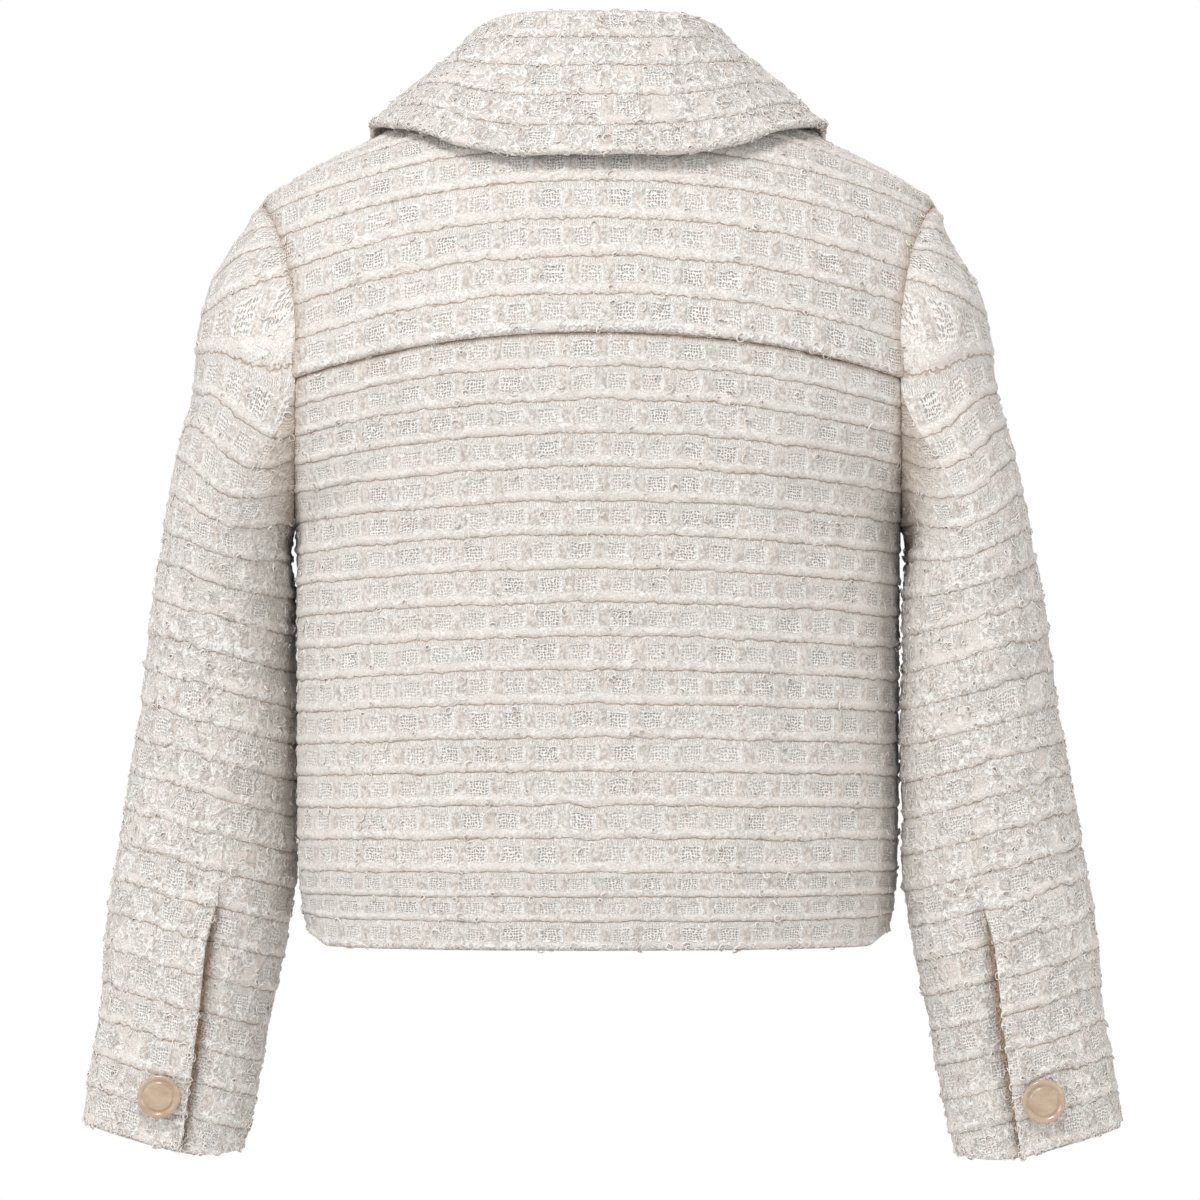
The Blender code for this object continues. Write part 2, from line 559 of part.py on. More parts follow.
class Sleeve:
    """One sleeve as a function, drawn for the wearer's left. The right is its mirror."""

    def __init__(self, arm):
        self.arm = arm
        self.lower_arc = self.lay_out_lower_arc()

    def tube(self, down, angle):
        """angle is 0 on the outside of the arm, 90 degrees at the back, 180 at the body."""
        widened = self.arm.cap_out * smooth_step(down, 0, 30) * (1 - down / 400)
        outer = SLEEVE["outer"](down) + widened
        inner = SLEEVE["inner"](down)
        middle = (outer + inner) / 2
        half_width = (outer - inner) / 2
        power = 2 / SLEEVE_ROUNDNESS
        across = middle + half_width * signed_power(math.cos(angle), power)
        y = SLEEVE["half_depth"](down) * signed_power(math.sin(angle), power)
        y += SLEEVE["swing"](down) * self.arm.swing
        return SHOULDER_TIP + down * DOWN_ARM + across * ACROSS_ARM + np.array([0, y, 0])

    def tube_normal(self, down, angle):
        normal = normal_of(self.tube, down, angle, 1.0, 0.02)
        outward = math.cos(angle) * ACROSS_ARM + np.array([0, math.sin(angle), 0])
        return normal if np.dot(normal, outward) > 0 else -normal

    def lay_out_lower_arc(self):
        """The armhole below the notches, from the back one under the arm to the front one."""
        points, normals = [], []
        for facing in (1, -1):
            downs = np.linspace(NOTCH_DOWN, ARMHOLES[facing][0][-1], 60)
            for down in downs[::facing]:
                point, normal = armhole_at(facing, down)
                points.append(point)
                normals.append(normal)
        return np.concatenate([np.array(points), np.array(normals)], axis=1)

    def lower_armhole(self, share):
        both = along_line(self.lower_arc, [share])[0]
        return both[:3], unit(both[3:])

    def back_seam_angle(self, down):
        share = smooth_step(down, VENT_TOP_DOWN - 60, CUFF_DOWN)
        return BACK_SEAM_ANGLE + share * (VENT_SEAM_ANGLE - BACK_SEAM_ANGLE)

    def under_angle(self, share, down):
        start = self.back_seam_angle(down)
        return start + share * (FRONT_SEAM_ANGLE - start)

    def under_point(self, share, down):
        """share runs from the back seam (0) to the front seam (1), round the body side."""
        top, _ = self.lower_armhole(share)
        top_down = down_of(top)
        angle = self.under_angle(share, down)
        miss = top - self.tube(top_down, self.under_angle(share, top_down))
        fade = 1 - smooth_step(down, top_down, top_down + SEAM_EASE)
        return self.tube(down, angle) + miss * fade

    def edge(self, facing, down):
        """Point of the upper sleeve's back (1) or front (-1) edge."""
        if down <= NOTCH_DOWN:
            return armhole_at(facing, down)[0] + clear_of_body(down)
        return self.under_point(0.0 if facing == 1 else 1.0, down)

    def edge_angle(self, facing, down):
        """Angle of that edge round the tube."""
        if facing == 1:
            return self.back_seam_angle(down)
        return FRONT_SEAM_ANGLE - 2 * math.pi

    def upper_row(self, down, columns, gap):
        """Angles and points of one row of the upper sleeve, front edge to back edge."""
        low = self.edge_angle(-1, down)
        high = self.edge_angle(1, down)
        angles = np.linspace(low, high, 90)
        line = np.array([self.tube(down, a) for a in angles])
        miss_front = self.edge(-1, down) - line[0]
        miss_back = self.edge(1, down) - line[-1]
        shares = np.linspace(0, 1, len(angles))[:, None]
        line = line + miss_front * (1 - shares) ** 2.5 + miss_back * shares**2.5
        lengths = np.concatenate([[0], np.cumsum(np.linalg.norm(np.diff(line, axis=0), axis=1))])
        back_end = lengths[-1] - gap
        if columns == UPPER_COLUMNS and back_end > 4 * EDGE_BAND:
            at = np.linspace(gap, back_end - EDGE_BAND, columns - 3)
            at = np.concatenate([at, back_end - EDGE_BAND * np.array([2 / 3, 1 / 3, 0])])
        else:
            at = np.linspace(gap, back_end, columns)
        points = np.stack([np.interp(at, lengths, line[:, k]) for k in range(3)], axis=1)
        from_back = lengths[-1] - at
        return np.interp(at, lengths, angles), points, from_back

    def upper_offset(self, down, from_back):
        """How far the back edge stands off where it laps the under sleeve."""
        near = 1 - smooth_step(from_back, UNDER_LAP, UNDER_LAP + 18)
        below_armhole = smooth_step(down, NOTCH_DOWN - 30, NOTCH_DOWN)
        along_vent = smooth_step(down, VENT_TOP_DOWN, VENT_TOP_DOWN + 60)
        along_vent *= 1 - 0.7 * smooth_step(down, CUFF_DOWN - 60, CUFF_DOWN - 20)
        open_edge = VENT_OPEN * along_vent * (1 - smooth_step(from_back, 0, UNDER_LAP))
        return LAP_RISE * near * below_armhole + open_edge

    def sided(self, grid):
        grid[:, :, 0] *= self.arm.side
        return grid

    def add_upper(self):
        rows = [(CAP_TOP_DOWN, 0.0), (CAP_TOP_DOWN + 3.0, 0.0)]
        for level, relief in row_levels(-8, -CUFF_DOWN, SLEEVE_PITCH, -VENT_TOP_DOWN):
            rows.append((-level, relief))
        rows.append((CUFF_DOWN, 0.0))
        outer = np.zeros((len(rows), UPPER_COLUMNS, 3))
        inner = np.zeros_like(outer)
        for i, (down, relief) in enumerate(rows):
            angles, points, from_back = self.upper_row(down, UPPER_COLUMNS, ARMHOLE_GAP)
            points = cap_top() if i == 0 else points
            for j in range(UPPER_COLUMNS):
                normal = self.tube_normal(down, angles[j])
                at_edge = j in (0, UPPER_COLUMNS - 1)
                if i == 0:
                    normal = unit(ACROSS_ARM * CAP_LEAN + [0, 0, 1])
                elif down <= CAP_TURN and at_edge:
                    body_normal = armhole_at(-1 if j == 0 else 1, down)[1]
                    share = 1 - smooth_step(down, CAP_TURN * 0.5, CAP_TURN)
                    normal = unit(normal * (1 - share) + body_normal * share)
                offset = self.upper_offset(down, from_back[j])
                height = 0.0 if at_edge else relief
                outer[i, j] = points[j] + normal * (offset + height)
                inner[i, j] = points[j] + normal * (offset - CLOTH)
        first = [k for k, row in enumerate(rows) if row[0] < NOTCH_DOWN + 60]
        kept = [0, 1, 3, 5] + first[7:]
        kept += [k + kept[-1] for k in every(len(rows) - kept[-1], 3)[1:]]
        wall(f"sleeve_upper_{self.arm.name}", self.sided(outer), self.sided(inner), kept)

    def under_down(self, share, row_down):
        """Distance down the arm of a row that starts on the armhole and grows straight."""
        if row_down >= STRAIGHT_DOWN:
            return row_down
        top_down = down_of(self.lower_armhole(share)[0])
        along = (row_down - NOTCH_DOWN) / (STRAIGHT_DOWN - NOTCH_DOWN)
        return top_down + along * (STRAIGHT_DOWN - top_down)

    def add_under(self):
        rows = [(NOTCH_DOWN, 0.0)]
        for level, relief in row_levels(-NOTCH_DOWN, -CUFF_DOWN, SLEEVE_PITCH, -VENT_TOP_DOWN):
            rows.append((-level, relief))
        rows.append((CUFF_DOWN, 0.0))
        shares = np.linspace(0, 1, UNDER_COLUMNS)
        outer = np.zeros((len(rows), UNDER_COLUMNS + 3, 3))
        inner = np.zeros_like(outer)
        for i, (row_down, relief) in enumerate(rows):
            for j, share in enumerate(shares):
                down = self.under_down(share, row_down)
                rise = CUFF_INNER_RISE * math.sin(math.pi * share) ** 1.5
                down -= rise * smooth_step(row_down, CUFF_DOWN - 90, CUFF_DOWN)
                point = self.under_point(share, down)
                normal = self.tube_normal(down, self.under_angle(share, down))
                if i == 0:
                    point = point + DOWN_ARM * SEAM_GAP + ACROSS_ARM * SEAM_GAP
                at_edge = j == len(shares) - 1
                sunk = -LAP_SINK if j == 0 else 0.0
                height = 0.0 if at_edge or j == 0 or i < PLAIN_ROWS else relief
                outer[i, j + 3] = point + normal * (sunk + height)
                inner[i, j + 3] = point + normal * (sunk - CLOTH)
            self.fill_lap(outer[i], inner[i], row_down, i == 0)
        outer = self.sided(outer)
        inner = self.sided(inner)
        kept = list(range(6)) + [k + 6 for k in every(len(rows) - 6, 3)]
        wall(f"sleeve_under_{self.arm.name}", outer, inner, kept)

    def fill_lap(self, outer_row, inner_row, row_down, is_top):
        """The three columns that lie beneath the upper sleeve's back edge."""
        down = self.under_down(0.0, row_down) + (UNDER_LAP_START if is_top else 0.0)
        angles, points, from_back = self.upper_row(down, 60, 0.0)
        for j, reach in enumerate((UNDER_LAP, UNDER_LAP * 0.6, UNDER_LAP * 0.25)):
            k = int(np.argmin(np.abs(from_back - reach)))
            normal = self.tube_normal(down, angles[k])
            outer_row[j] = points[k] - normal * LAP_SINK
            inner_row[j] = points[k] - normal * (LAP_SINK + CLOTH)

    def button_seat(self):
        angles, points, from_back = self.upper_row(CUFF_BUTTON_DOWN, 120, 0.0)
        k = int(np.argmin(np.abs(angles - CUFF_BUTTON_ANGLE)))
        normal = self.tube_normal(CUFF_BUTTON_DOWN, angles[k])
        offset = self.upper_offset(CUFF_BUTTON_DOWN, from_back[k]) + RIB_HEIGHT
        seat = points[k] + normal * offset
        side = np.array([self.arm.side, 1, 1])
        return seat * side, normal * side


# ---- the collar ---------------------------------------------------------------------------


def neck_line():
    """Neck seam from the centre back to the collar's end: points and body normals."""
    samples = []
    for angle in np.linspace(math.pi / 2, 0, 60):
        samples.append(np.concatenate([BACK.point(0.0, angle), BACK.normal(0.0, angle)]))
    for turn in np.linspace(0.02, 1, 90) * math.pi / 2:
        level = NECK_FRONT_LEVEL * math.sin(turn) ** 1.2
        x = neck_front_x(level)
        if x < COLLAR_END_X:
            break
        angle = FRONT.angle_of_x(level, x)
        samples.append(np.concatenate([FRONT.point(level, angle), FRONT.normal(level, angle)]))
    return np.array(samples)


def body_under(x, y):
    """Point and normal of the body straight below this place: the back where y is positive."""
    half = BACK if y > 0 else FRONT
    high, low = 0.0, UNDERARM_LEVEL
    for _ in range(40):
        level = (high + low) / 2
        covered = abs(x) < half.half_width(level)
        angle = half.angle_of_x(level, x)
        if covered and abs(half.point(level, angle)[1]) > abs(y):
            low = level
        else:
            high = level
    return half.point(low, half.angle_of_x(low, x)), half.normal(low, half.angle_of_x(low, x))


def collar_line(along, neck, tables):
    """The collar's middle line at one place: up the stand, over the fold and down the fall."""
    base = neck[:3]
    up = np.array([0, 0, 1.0])
    fold = np.array([tables["fold_x"](along), tables["fold_y"](along), tables["fold_z"](along)])
    edge, edge_normal = body_under(tables["edge_x"](along), tables["edge_y"](along))
    edge = edge + edge_normal * tables["lift"](along)
    outward = unit((edge - fold) * [1, 1, 0])
    tall = max(fold[2] - base[2], 4.0)
    radius = min(FOLD_RADIUS, tall * 0.4)
    centre = fold - up * radius
    stand_top = centre - outward * radius
    start = base + unit(stand_top - base) * STAND_GAP
    off_fronts = STAND_FRONT_GAP * smooth_step(along, 0.45, 0.7)
    off_lap = LAP_RISE * smooth_step(along, 0.7, 0.9)
    start = start + neck[3:] * (off_fronts + off_lap)
    line = [start + (stand_top - start) * share for share in (0, 0.35, 0.7)]
    for turn in np.linspace(0, math.pi, 5):
        line.append(centre - outward * radius * math.cos(turn) + up * radius * math.sin(turn))
    fall_start = line[-1]
    out_and_up = unit(np.cross(np.cross(edge - fall_start, up), edge - fall_start))
    bend = (fall_start + edge) / 2 - out_and_up * FALL_BULGE * math.copysign(1, -out_and_up[2])
    for share in np.linspace(0, 1, FALL_ROWS + 1)[1:]:
        line.append(
            fall_start * (1 - share) ** 2 + bend * 2 * share * (1 - share) + edge * share**2
        )
    return np.array(line)


def add_collar():
    samples = neck_line()
    tables = {c: curve_through(COLLAR, "along", c) for c in CollarPoint._fields[1:]}
    shares = np.linspace(0, 1, COLLAR_COLUMNS // 2 + 1)
    necks = along_line(samples, shares)
    half = np.array([collar_line(a, neck, tables) for a, neck in zip(shares, necks)])
    grid = mirrored_whole(half.transpose(1, 0, 2))
    down_rows = np.gradient(grid, axis=0)
    across = np.gradient(grid, axis=1)
    normals = np.cross(down_rows, across)
    normals /= np.linalg.norm(normals, axis=2, keepdims=True)
    outside = -1 if normals[len(grid) - 2, grid.shape[1] // 2][1] < 0 else 1
    normals *= outside
    relief = np.zeros((len(grid), 1, 1))
    relief[9:-1:2] = RIB_HEIGHT
    relief[10:-1:2] = -GROOVE_DEPTH
    outer = grid + normals * (COLLAR_CLOTH / 2 + relief)
    inner = grid - normals * COLLAR_CLOTH / 2
    wall("collar", outer, inner, list(range(len(grid))))


# ---- the buttons --------------------------------------------------------------------------


def add_button(name, seat, facing):
    """A turned button whose shank ends just off the cloth at seat."""
    facing = unit(facing)
    across = unit(np.cross(facing, [0, 0, 1.0]))
    upright = np.cross(facing, across)
    points = []
    for ring in BUTTON_PROFILE:
        for k in range(BUTTON_SIDES):
            turn = 2 * math.pi * k / BUTTON_SIDES
            spoke = across * math.cos(turn) + upright * math.sin(turn)
            points.append(seat + facing * (BUTTON_SEAT + ring.height) + spoke * ring.radius)
    faces = []
    for i in range(len(BUTTON_PROFILE) - 1):
        for k in range(BUTTON_SIDES):
            after = (k + 1) % BUTTON_SIDES
            low, high = i * BUTTON_SIDES, (i + 1) * BUTTON_SIDES
            faces.append([low + k, low + after, high + after, high + k])
    faces.append(list(range(BUTTON_SIDES))[::-1])
    faces.append([(len(BUTTON_PROFILE) - 1) * BUTTON_SIDES + k for k in range(BUTTON_SIDES)])
    add_mesh(name, points, faces, HORN)


def add_front_buttons():
    for number, level in enumerate(FRONT_BUTTON_LEVELS, 1):
        normal = FRONT.normal(level, math.pi / 2)
        seat = FRONT.point(level, math.pi / 2) + normal * (LAP_RISE + RIB_HEIGHT)
        add_button(f"front_button_{number}", seat, normal)


def main():
    for old in list(bpy.data.objects):
        bpy.data.objects.remove(old, do_unlink=True)
    add_back()
    add_yoke()
    add_front("front_left", 1, over=False)
    add_front("front_right", -1, over=True)
    for arm in ARMS:
        sleeve = Sleeve(arm)
        sleeve.add_upper()
        sleeve.add_under()
        add_button(f"cuff_button_{arm.name}", *sleeve.button_seat())
    add_collar()
    add_front_buttons()


main()
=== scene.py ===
"""Looks of a cropped ivory tweed jacket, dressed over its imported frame.

Each cut piece of cloth is a thin shell on the same form as its solid, in a fine mesh whose rows
follow the weave: a wavy groove, a double thread, a row of little open-weave windows and a thick
slub. The back faces +Y, and +X is the wearer's left. Lengths are millimetres until a mesh is made.
"""

import math
from collections import namedtuple
from functools import cache

import bmesh
import bpy
import numpy as np
from mathutils import Matrix, Vector


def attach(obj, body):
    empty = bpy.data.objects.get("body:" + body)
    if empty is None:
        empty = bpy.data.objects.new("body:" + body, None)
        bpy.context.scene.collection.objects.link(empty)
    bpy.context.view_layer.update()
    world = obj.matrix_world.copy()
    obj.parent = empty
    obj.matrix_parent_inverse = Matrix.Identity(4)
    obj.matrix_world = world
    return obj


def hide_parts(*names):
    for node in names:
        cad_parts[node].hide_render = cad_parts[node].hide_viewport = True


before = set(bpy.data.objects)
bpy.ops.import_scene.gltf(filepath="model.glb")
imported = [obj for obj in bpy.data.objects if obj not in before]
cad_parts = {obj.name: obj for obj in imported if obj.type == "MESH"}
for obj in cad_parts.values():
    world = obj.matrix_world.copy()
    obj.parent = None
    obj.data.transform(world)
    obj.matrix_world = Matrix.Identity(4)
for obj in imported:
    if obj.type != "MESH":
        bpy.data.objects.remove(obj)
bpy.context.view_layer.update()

MM = 0.001
ROOT = "root"

# ---- sizes shared with the solids -----------------------------------------------------------

CLOTH = 3.0
NECK_GAP = 0.4
LAP_RISE = 2.1
LAP_SINK = 2.4

HEM_LEVEL = -511.0
YOKE_LEVEL = -148.0
YOKE_LAP = 14.0
UNDERARM_LEVEL = -250.0
SHOULDER_TIP_LEVEL = -31.5
NECK_HALF_WIDTH = 72.0
NECK_FRONT_LEVEL = -70.0
FRONT_LAP = 20.0

BODY_PITCH = 19.8
YOKE_PITCH = 22.5
SLEEVE_PITCH = 21.0
MOTIF_WIDTH = 21.0  # of one window and the slub column beside it

HEM_CORNER_LIFT = 6.5
HEM_CORNER_HEIGHT = 26.0
HEM_CORNER_X = (160.0, 174.0)
LAP_EASE = 14.0
DROP_X = 180.0

BodyRow = namedtuple("BodyRow", "level edge_x edge_y depth roundness drop drop_power")
BACK_ROWS = [
    BodyRow(-511, 173, 0, 116, 2.3, 0, 2.0),
    BodyRow(-497, 176, 0, 118, 2.3, 0, 2.0),
    BodyRow(-460, 179, 0, 118, 2.3, 2, 2.0),
    BodyRow(-400, 180, 0, 118, 2.3, 5, 2.0),
    BodyRow(-330, 180, 0, 120, 2.3, 8, 2.0),
    BodyRow(-250, 181, 0, 122, 2.3, 12, 2.0),
    BodyRow(-240, 181, 24, 122, 2.3, 13, 2.0),
    BodyRow(-225, 180.5, 43, 122, 2.3, 15, 2.0),
    BodyRow(-205, 180, 58, 122, 2.3, 18, 2.1),
    BodyRow(-180, 179.5, 68, 121, 2.3, 22, 2.2),
    BodyRow(-148, 179, 73, 119, 2.3, 26, 2.2),
    BodyRow(-120, 179, 72, 115, 2.3, 27, 2.2),
    BodyRow(-78, 184, 61, 104, 2.3, 28, 2.2),
    BodyRow(-57, 190, 45, 96, 2.2, 28, 2.2),
    BodyRow(-41, 196, 26, 89, 2.08, 28, 2.2),
    BodyRow(-31.5, 201, 0, 85, 1.9, 28, 2.2),
    BodyRow(-24.5, 182, 0, 81, 1.85, 28, 2.2),
    BodyRow(-20, 161, 0, 77.5, 1.85, 28, 2.2),
    BodyRow(-12.3, 128, 0, 71, 1.87, 28, 2.2),
    BodyRow(-5.8, 104, 0, 65.5, 1.93, 28, 2.2),
    BodyRow(0, 72, 0, 58, 2.0, 28, 2.2),
]
# The front has an edge and a depth of its own at the same levels, and is otherwise as the back.
FRONT_SHAPES = [
    (173, 0, 114), (176, 0, 116), (179, 0, 117), (180, 0, 118), (180, 0, 122.5), (181, 0, 126.6),
    (180.5, 26, 126.8), (178, 46, 126.4), (176, 59, 125), (174.5, 66, 122), (174.5, 68, 116),
    (176, 65, 110), (183, 53, 94), (190, 38, 82), (196, 21, 73), (201, 0, 66), (182, 0, 59),
    (161, 0, 53), (128, 0, 41), (104, 0, 30), (72, 0, 14),
]
FRONT_ROWS = [
    row._replace(edge_x=x, edge_y=y, depth=depth)
    for row, (x, y, depth) in zip(BACK_ROWS, FRONT_SHAPES)
]

SLEEVE_TILT = math.radians(15)
CUFF_DOWN = 562.0
SleeveRow = namedtuple("SleeveRow", "down outer inner half_depth swing")
SLEEVE_ROWS = [
    SleeveRow(0, 0.6, -3, 8, 0.0),
    SleeveRow(5, 2.2, -10, 21, 0.0),
    SleeveRow(18, 5.8, -31, 46, 0.0),
    SleeveRow(37, 12.0, -56, 60, 0.02),
    SleeveRow(64, 17.7, -77, 68, 0.08),
    SleeveRow(88, 17.7, -83, 71, 0.16),
    SleeveRow(125, 13.8, -78, 72, 0.32),
    SleeveRow(150, 12.2, -70, 71.5, 0.45),
    SleeveRow(186, 9.3, -66, 70, 0.64),
    SleeveRow(222, 6.3, -78, 67, 0.82),
    SleeveRow(282, -2.0, -96, 62, 1.0),
    SleeveRow(354, -10.5, -115, 55, 1.0),
    SleeveRow(398, -15.0, -125, 51, 0.97),
    SleeveRow(427, -18.0, -127, 49, 0.94),
    SleeveRow(498, -30.4, -132, 45, 0.86),
    SleeveRow(534, -33.5, -134.5, 43, 0.82),
    SleeveRow(562, -38.2, -135, 42, 0.8),
]
SLEEVE_ROUNDNESS = 2.2
NOTCH_DOWN = 104.0
CAP_TOP_DOWN = 5.0
SEAM_EASE = 75.0
FRONT_SEAM_ANGLE = math.radians(250)
BACK_SEAM_ANGLE = math.radians(99)
VENT_SEAM_ANGLE = math.radians(105)
VENT_TOP_DOWN = 414.0
VENT_OPEN = 2.2
VENT_SLIT = 3.4
SLIT_DEEP = 2.8
CORNER_SINK = 4.0  # how far the lap dives beneath the upper sleeve at the armhole
UNDER_LAP = 20.0
UNDER_LAP_START = 12.0
STRAIGHT_DOWN = 244.0
CUFF_INNER_RISE = 9.0
Arm = namedtuple("Arm", "name side swing cap_out")
ARMS = [Arm("left", 1, -32.0, 0.0), Arm("right", -1, 28.0, -7.0)]

COLLAR_CLOTH = 4.2
COLLAR_END_X = 5.0
FOLD_RADIUS = 5.4
STAND_GAP = 0.7
STAND_FRONT_GAP = 1.5
FALL_BULGE = 4.5
CollarPoint = namedtuple("CollarPoint", "along fold_x fold_y fold_z edge_x edge_y lift")
COLLAR = [
    CollarPoint(0.00, 0, 65, 42, 0, 91.5, 9.0),
    CollarPoint(0.10, 24, 62, 42, 37, 90.0, 9.0),
    CollarPoint(0.20, 46, 53, 41.5, 74, 82.0, 8.5),
    CollarPoint(0.29, 63, 36, 38, 104, 64.0, 8.0),
    CollarPoint(0.37, 73, 16, 31.5, 125, 34.0, 7.5),
    CollarPoint(0.45, 78, -6, 22, 133, -4.0, 7.0),
    CollarPoint(0.56, 77, -38, 7, 134, -46.0, 7.5),
    CollarPoint(0.75, 58, -74, -22, 114, -84.5, 8.5),
    CollarPoint(0.90, 26, -93, -50, 86, -105.5, 10.0),
    CollarPoint(1.00, 6, -99, -61, 64, -116.0, 11.0),
]

CAP_TURN = 70.0
CAP_LEAN = 0.4
BUTTON_SEAT = 0.35
CUFF_BUTTON_DOWN = 532.0
CUFF_BUTTON_ANGLE = math.radians(86)
FRONT_BUTTON_LEVELS = [-96.0, -180.6, -259.8, -339.0, -418.2]
RIB_HEIGHT = 0.9

# ---- the weave's own sizes ------------------------------------------------------------------

# Where the mesh has a row of points within one row of the weave, from its groove downwards.
ROW_SHARES = (0.0, 0.04, 0.11, 0.19, 0.29, 0.43, 0.58, 0.69, 0.77, 0.87, 0.95)
COLUMN_STEP = 2.5
EDGE_STEPS = (0.0, 0.4, 0.95, 1.7, 2.7)  # distances of the first points in from an edge
INNER_STEP = 12  # outer rows for each row of the plain inner face
HEM_GROOVES = (-479.2, -493.6)  # the rows close up above the hem
SLUB_HEIGHT = 1.0
GROOVE_DEPTH = 0.5
GROOVE_WAVE = 0.055  # of a row's height
WAVE_CLEAR = 12.0  # the grooves run straight nearer than this to an edge
FOLD_CLEAR = 16.0  # and the soft folds fade out
UPPER_FOLDS_FROM = 40.0  # from the outside of the arm to where its folds are measured
SHOULDER_BEND = -60.0  # above this level the cloth bends forward over the shoulder
COLLAR_PITCH = 20.0
COLLAR_LAST_ROW = 4.94  # rows of the weave on the collar's fall
STAND_ABOVE = 32.0  # length of the collar's stand and fold above the fall
CAP_PULL = 15.0
CAP_SLANT = 0.5  # the cap's rows run on from the yoke's
EDGE_CURLS = 2.6  # more stray curls along a free edge
LOOSE_COLLAR = 0.5
LOOSE_CAP = 0.25
LOOSE_SLEEVE = 0.8  # the sleeves' weave is more tangled than the body's
SEAM_DIP = 1.0
SEAM_REACH = 3.6
YOKE_SINK = 1.0
REST_FILL = 0.4  # how much the folded edge of the yoke fills the step beneath it
JOIN_OVER = 0.6  # how far two joined edges run past each other
EDGE_ROUND = 1.6

BODY_SAMPLES = 420  # points that measure one row of the body
SLEEVE_SAMPLES = 120
STAND_STEPS, FOLD_STEPS, FALL_STEPS = 20, 12, 69  # along the collar's middle line
COLLAR_SAMPLES = 61  # of those lines, from the centre back to one end
WIDTH_STEP = 60  # where the collar's width is measured, on its fall

# ---- the room's sizes, in metres ------------------------------------------------------------

CAMERA_AWAY = 5.0
CAMERA_X = -0.0012
CAMERA_LEVEL = -0.305
FRAME_WIDTH = 0.72
SENSOR_WIDTH = 36.0  # millimetres, as Blender gives a camera's sizes
FLOOR_LEVEL = -0.83
FLOOR_RADIUS = 1.6
ROOM_LIGHT = 0.52
LIT_POINT = (0, 0, -0.3)
# Each light's name, place, width and power in watts.
SOFT_LIGHTS = [
    ("high soft light", (0.7, 2.0, 2.3), 1.2, 62.0),
    ("left soft light", (2.4, 1.6, 0.5), 1.4, 22.0),
    ("right soft light", (-2.4, 1.6, 0.3), 1.4, 16.0),
    ("front soft light", (-0.8, -2.6, 1.2), 2.0, 30.0),
]

# Soft folds of the hanging cloth: across and down are its middle in millimetres (from the centre
# or the outside of the arm, and the level), turn its lean off upright in degrees, long and wide
# its half sizes, and high its height, a trough below zero.
Fold = namedtuple("Fold", "across down turn long wide high")
BACK_FOLDS = [
    Fold(-118, -330, 6, 150, 20, -1.6),
    Fold(-92, -350, 5, 140, 18, 1.2),
    Fold(122, -345, -7, 140, 22, -1.5),
    Fold(95, -330, -5, 150, 18, 1.1),
    Fold(-40, -420, 3, 90, 30, -0.9),
    Fold(48, -400, -4, 110, 30, -0.8),
    Fold(150, -235, 42, 60, 11, -1.5),
    Fold(-150, -238, -42, 60, 11, -1.5),
    Fold(0, -300, 0, 170, 34, 0.9),
]
YOKE_FOLDS = [
    Fold(-120, -105, -58, 60, 13, -1.0),
    Fold(122, -108, 60, 60, 13, -1.0),
    Fold(60, -75, 75, 60, 14, 0.8),
    Fold(-55, -80, -78, 60, 14, 0.7),
]
FRONT_FOLDS = [
    Fold(60, -330, -3, 160, 18, -1.6),
    Fold(85, -340, -4, 150, 17, 1.3),
    Fold(130, -300, 8, 120, 20, -1.3),
    Fold(150, -235, -42, 60, 11, -1.6),
    Fold(95, -150, -35, 60, 16, -1.2),
    Fold(75, -440, 2, 80, 26, 1.0),
]
UPPER_FOLDS = [
    Fold(35, -96, 48, 55, 9, -2.0),
    Fold(52, -122, 56, 48, 9, -1.8),
    Fold(20, -60, 20, 40, 12, 1.0),
    Fold(28, -236, 68, 42, 9, -1.9),
    Fold(-8, -262, 80, 44, 9, 1.3),
    Fold(34, -290, 66, 44, 10, -2.1),
    Fold(-22, -312, 96, 40, 9, -1.5),
    Fold(26, -352, 70, 46, 10, -1.5),
    Fold(-30, -215, 108, 34, 9, -1.2),
    Fold(8, -404, 82, 44, 11, -1.3),
    Fold(-14, -455, 96, 40, 12, 1.2),
    Fold(14, -486, 84, 40, 11, -1.3),
    Fold(-40, -130, 130, 40, 10, -1.3),
]
UNDER_FOLDS = [
    Fold(-20, -190, 70, 40, 9, -1.6),
    Fold(22, -222, 60, 40, 9, -1.6),
    Fold(-10, -262, 100, 40, 10, -1.4),
    Fold(18, -306, 76, 40, 10, 1.2),
    Fold(-24, -345, 84, 42, 10, -1.6),
    Fold(15, -402, 96, 40, 11, -1.2),
    Fold(0, -470, 86, 40, 12, -1.1),
]
COLLAR_FOLDS = [
    Fold(-150, -70, 12, 40, 20, -0.9),
    Fold(120, -66, -16, 40, 22, -1.0),
    Fold(-40, -80, 6, 40, 26, 0.9),
    Fold(52, -84, -4, 40, 26, -0.8),
]

# ---- small tools ----------------------------------------------------------------------------


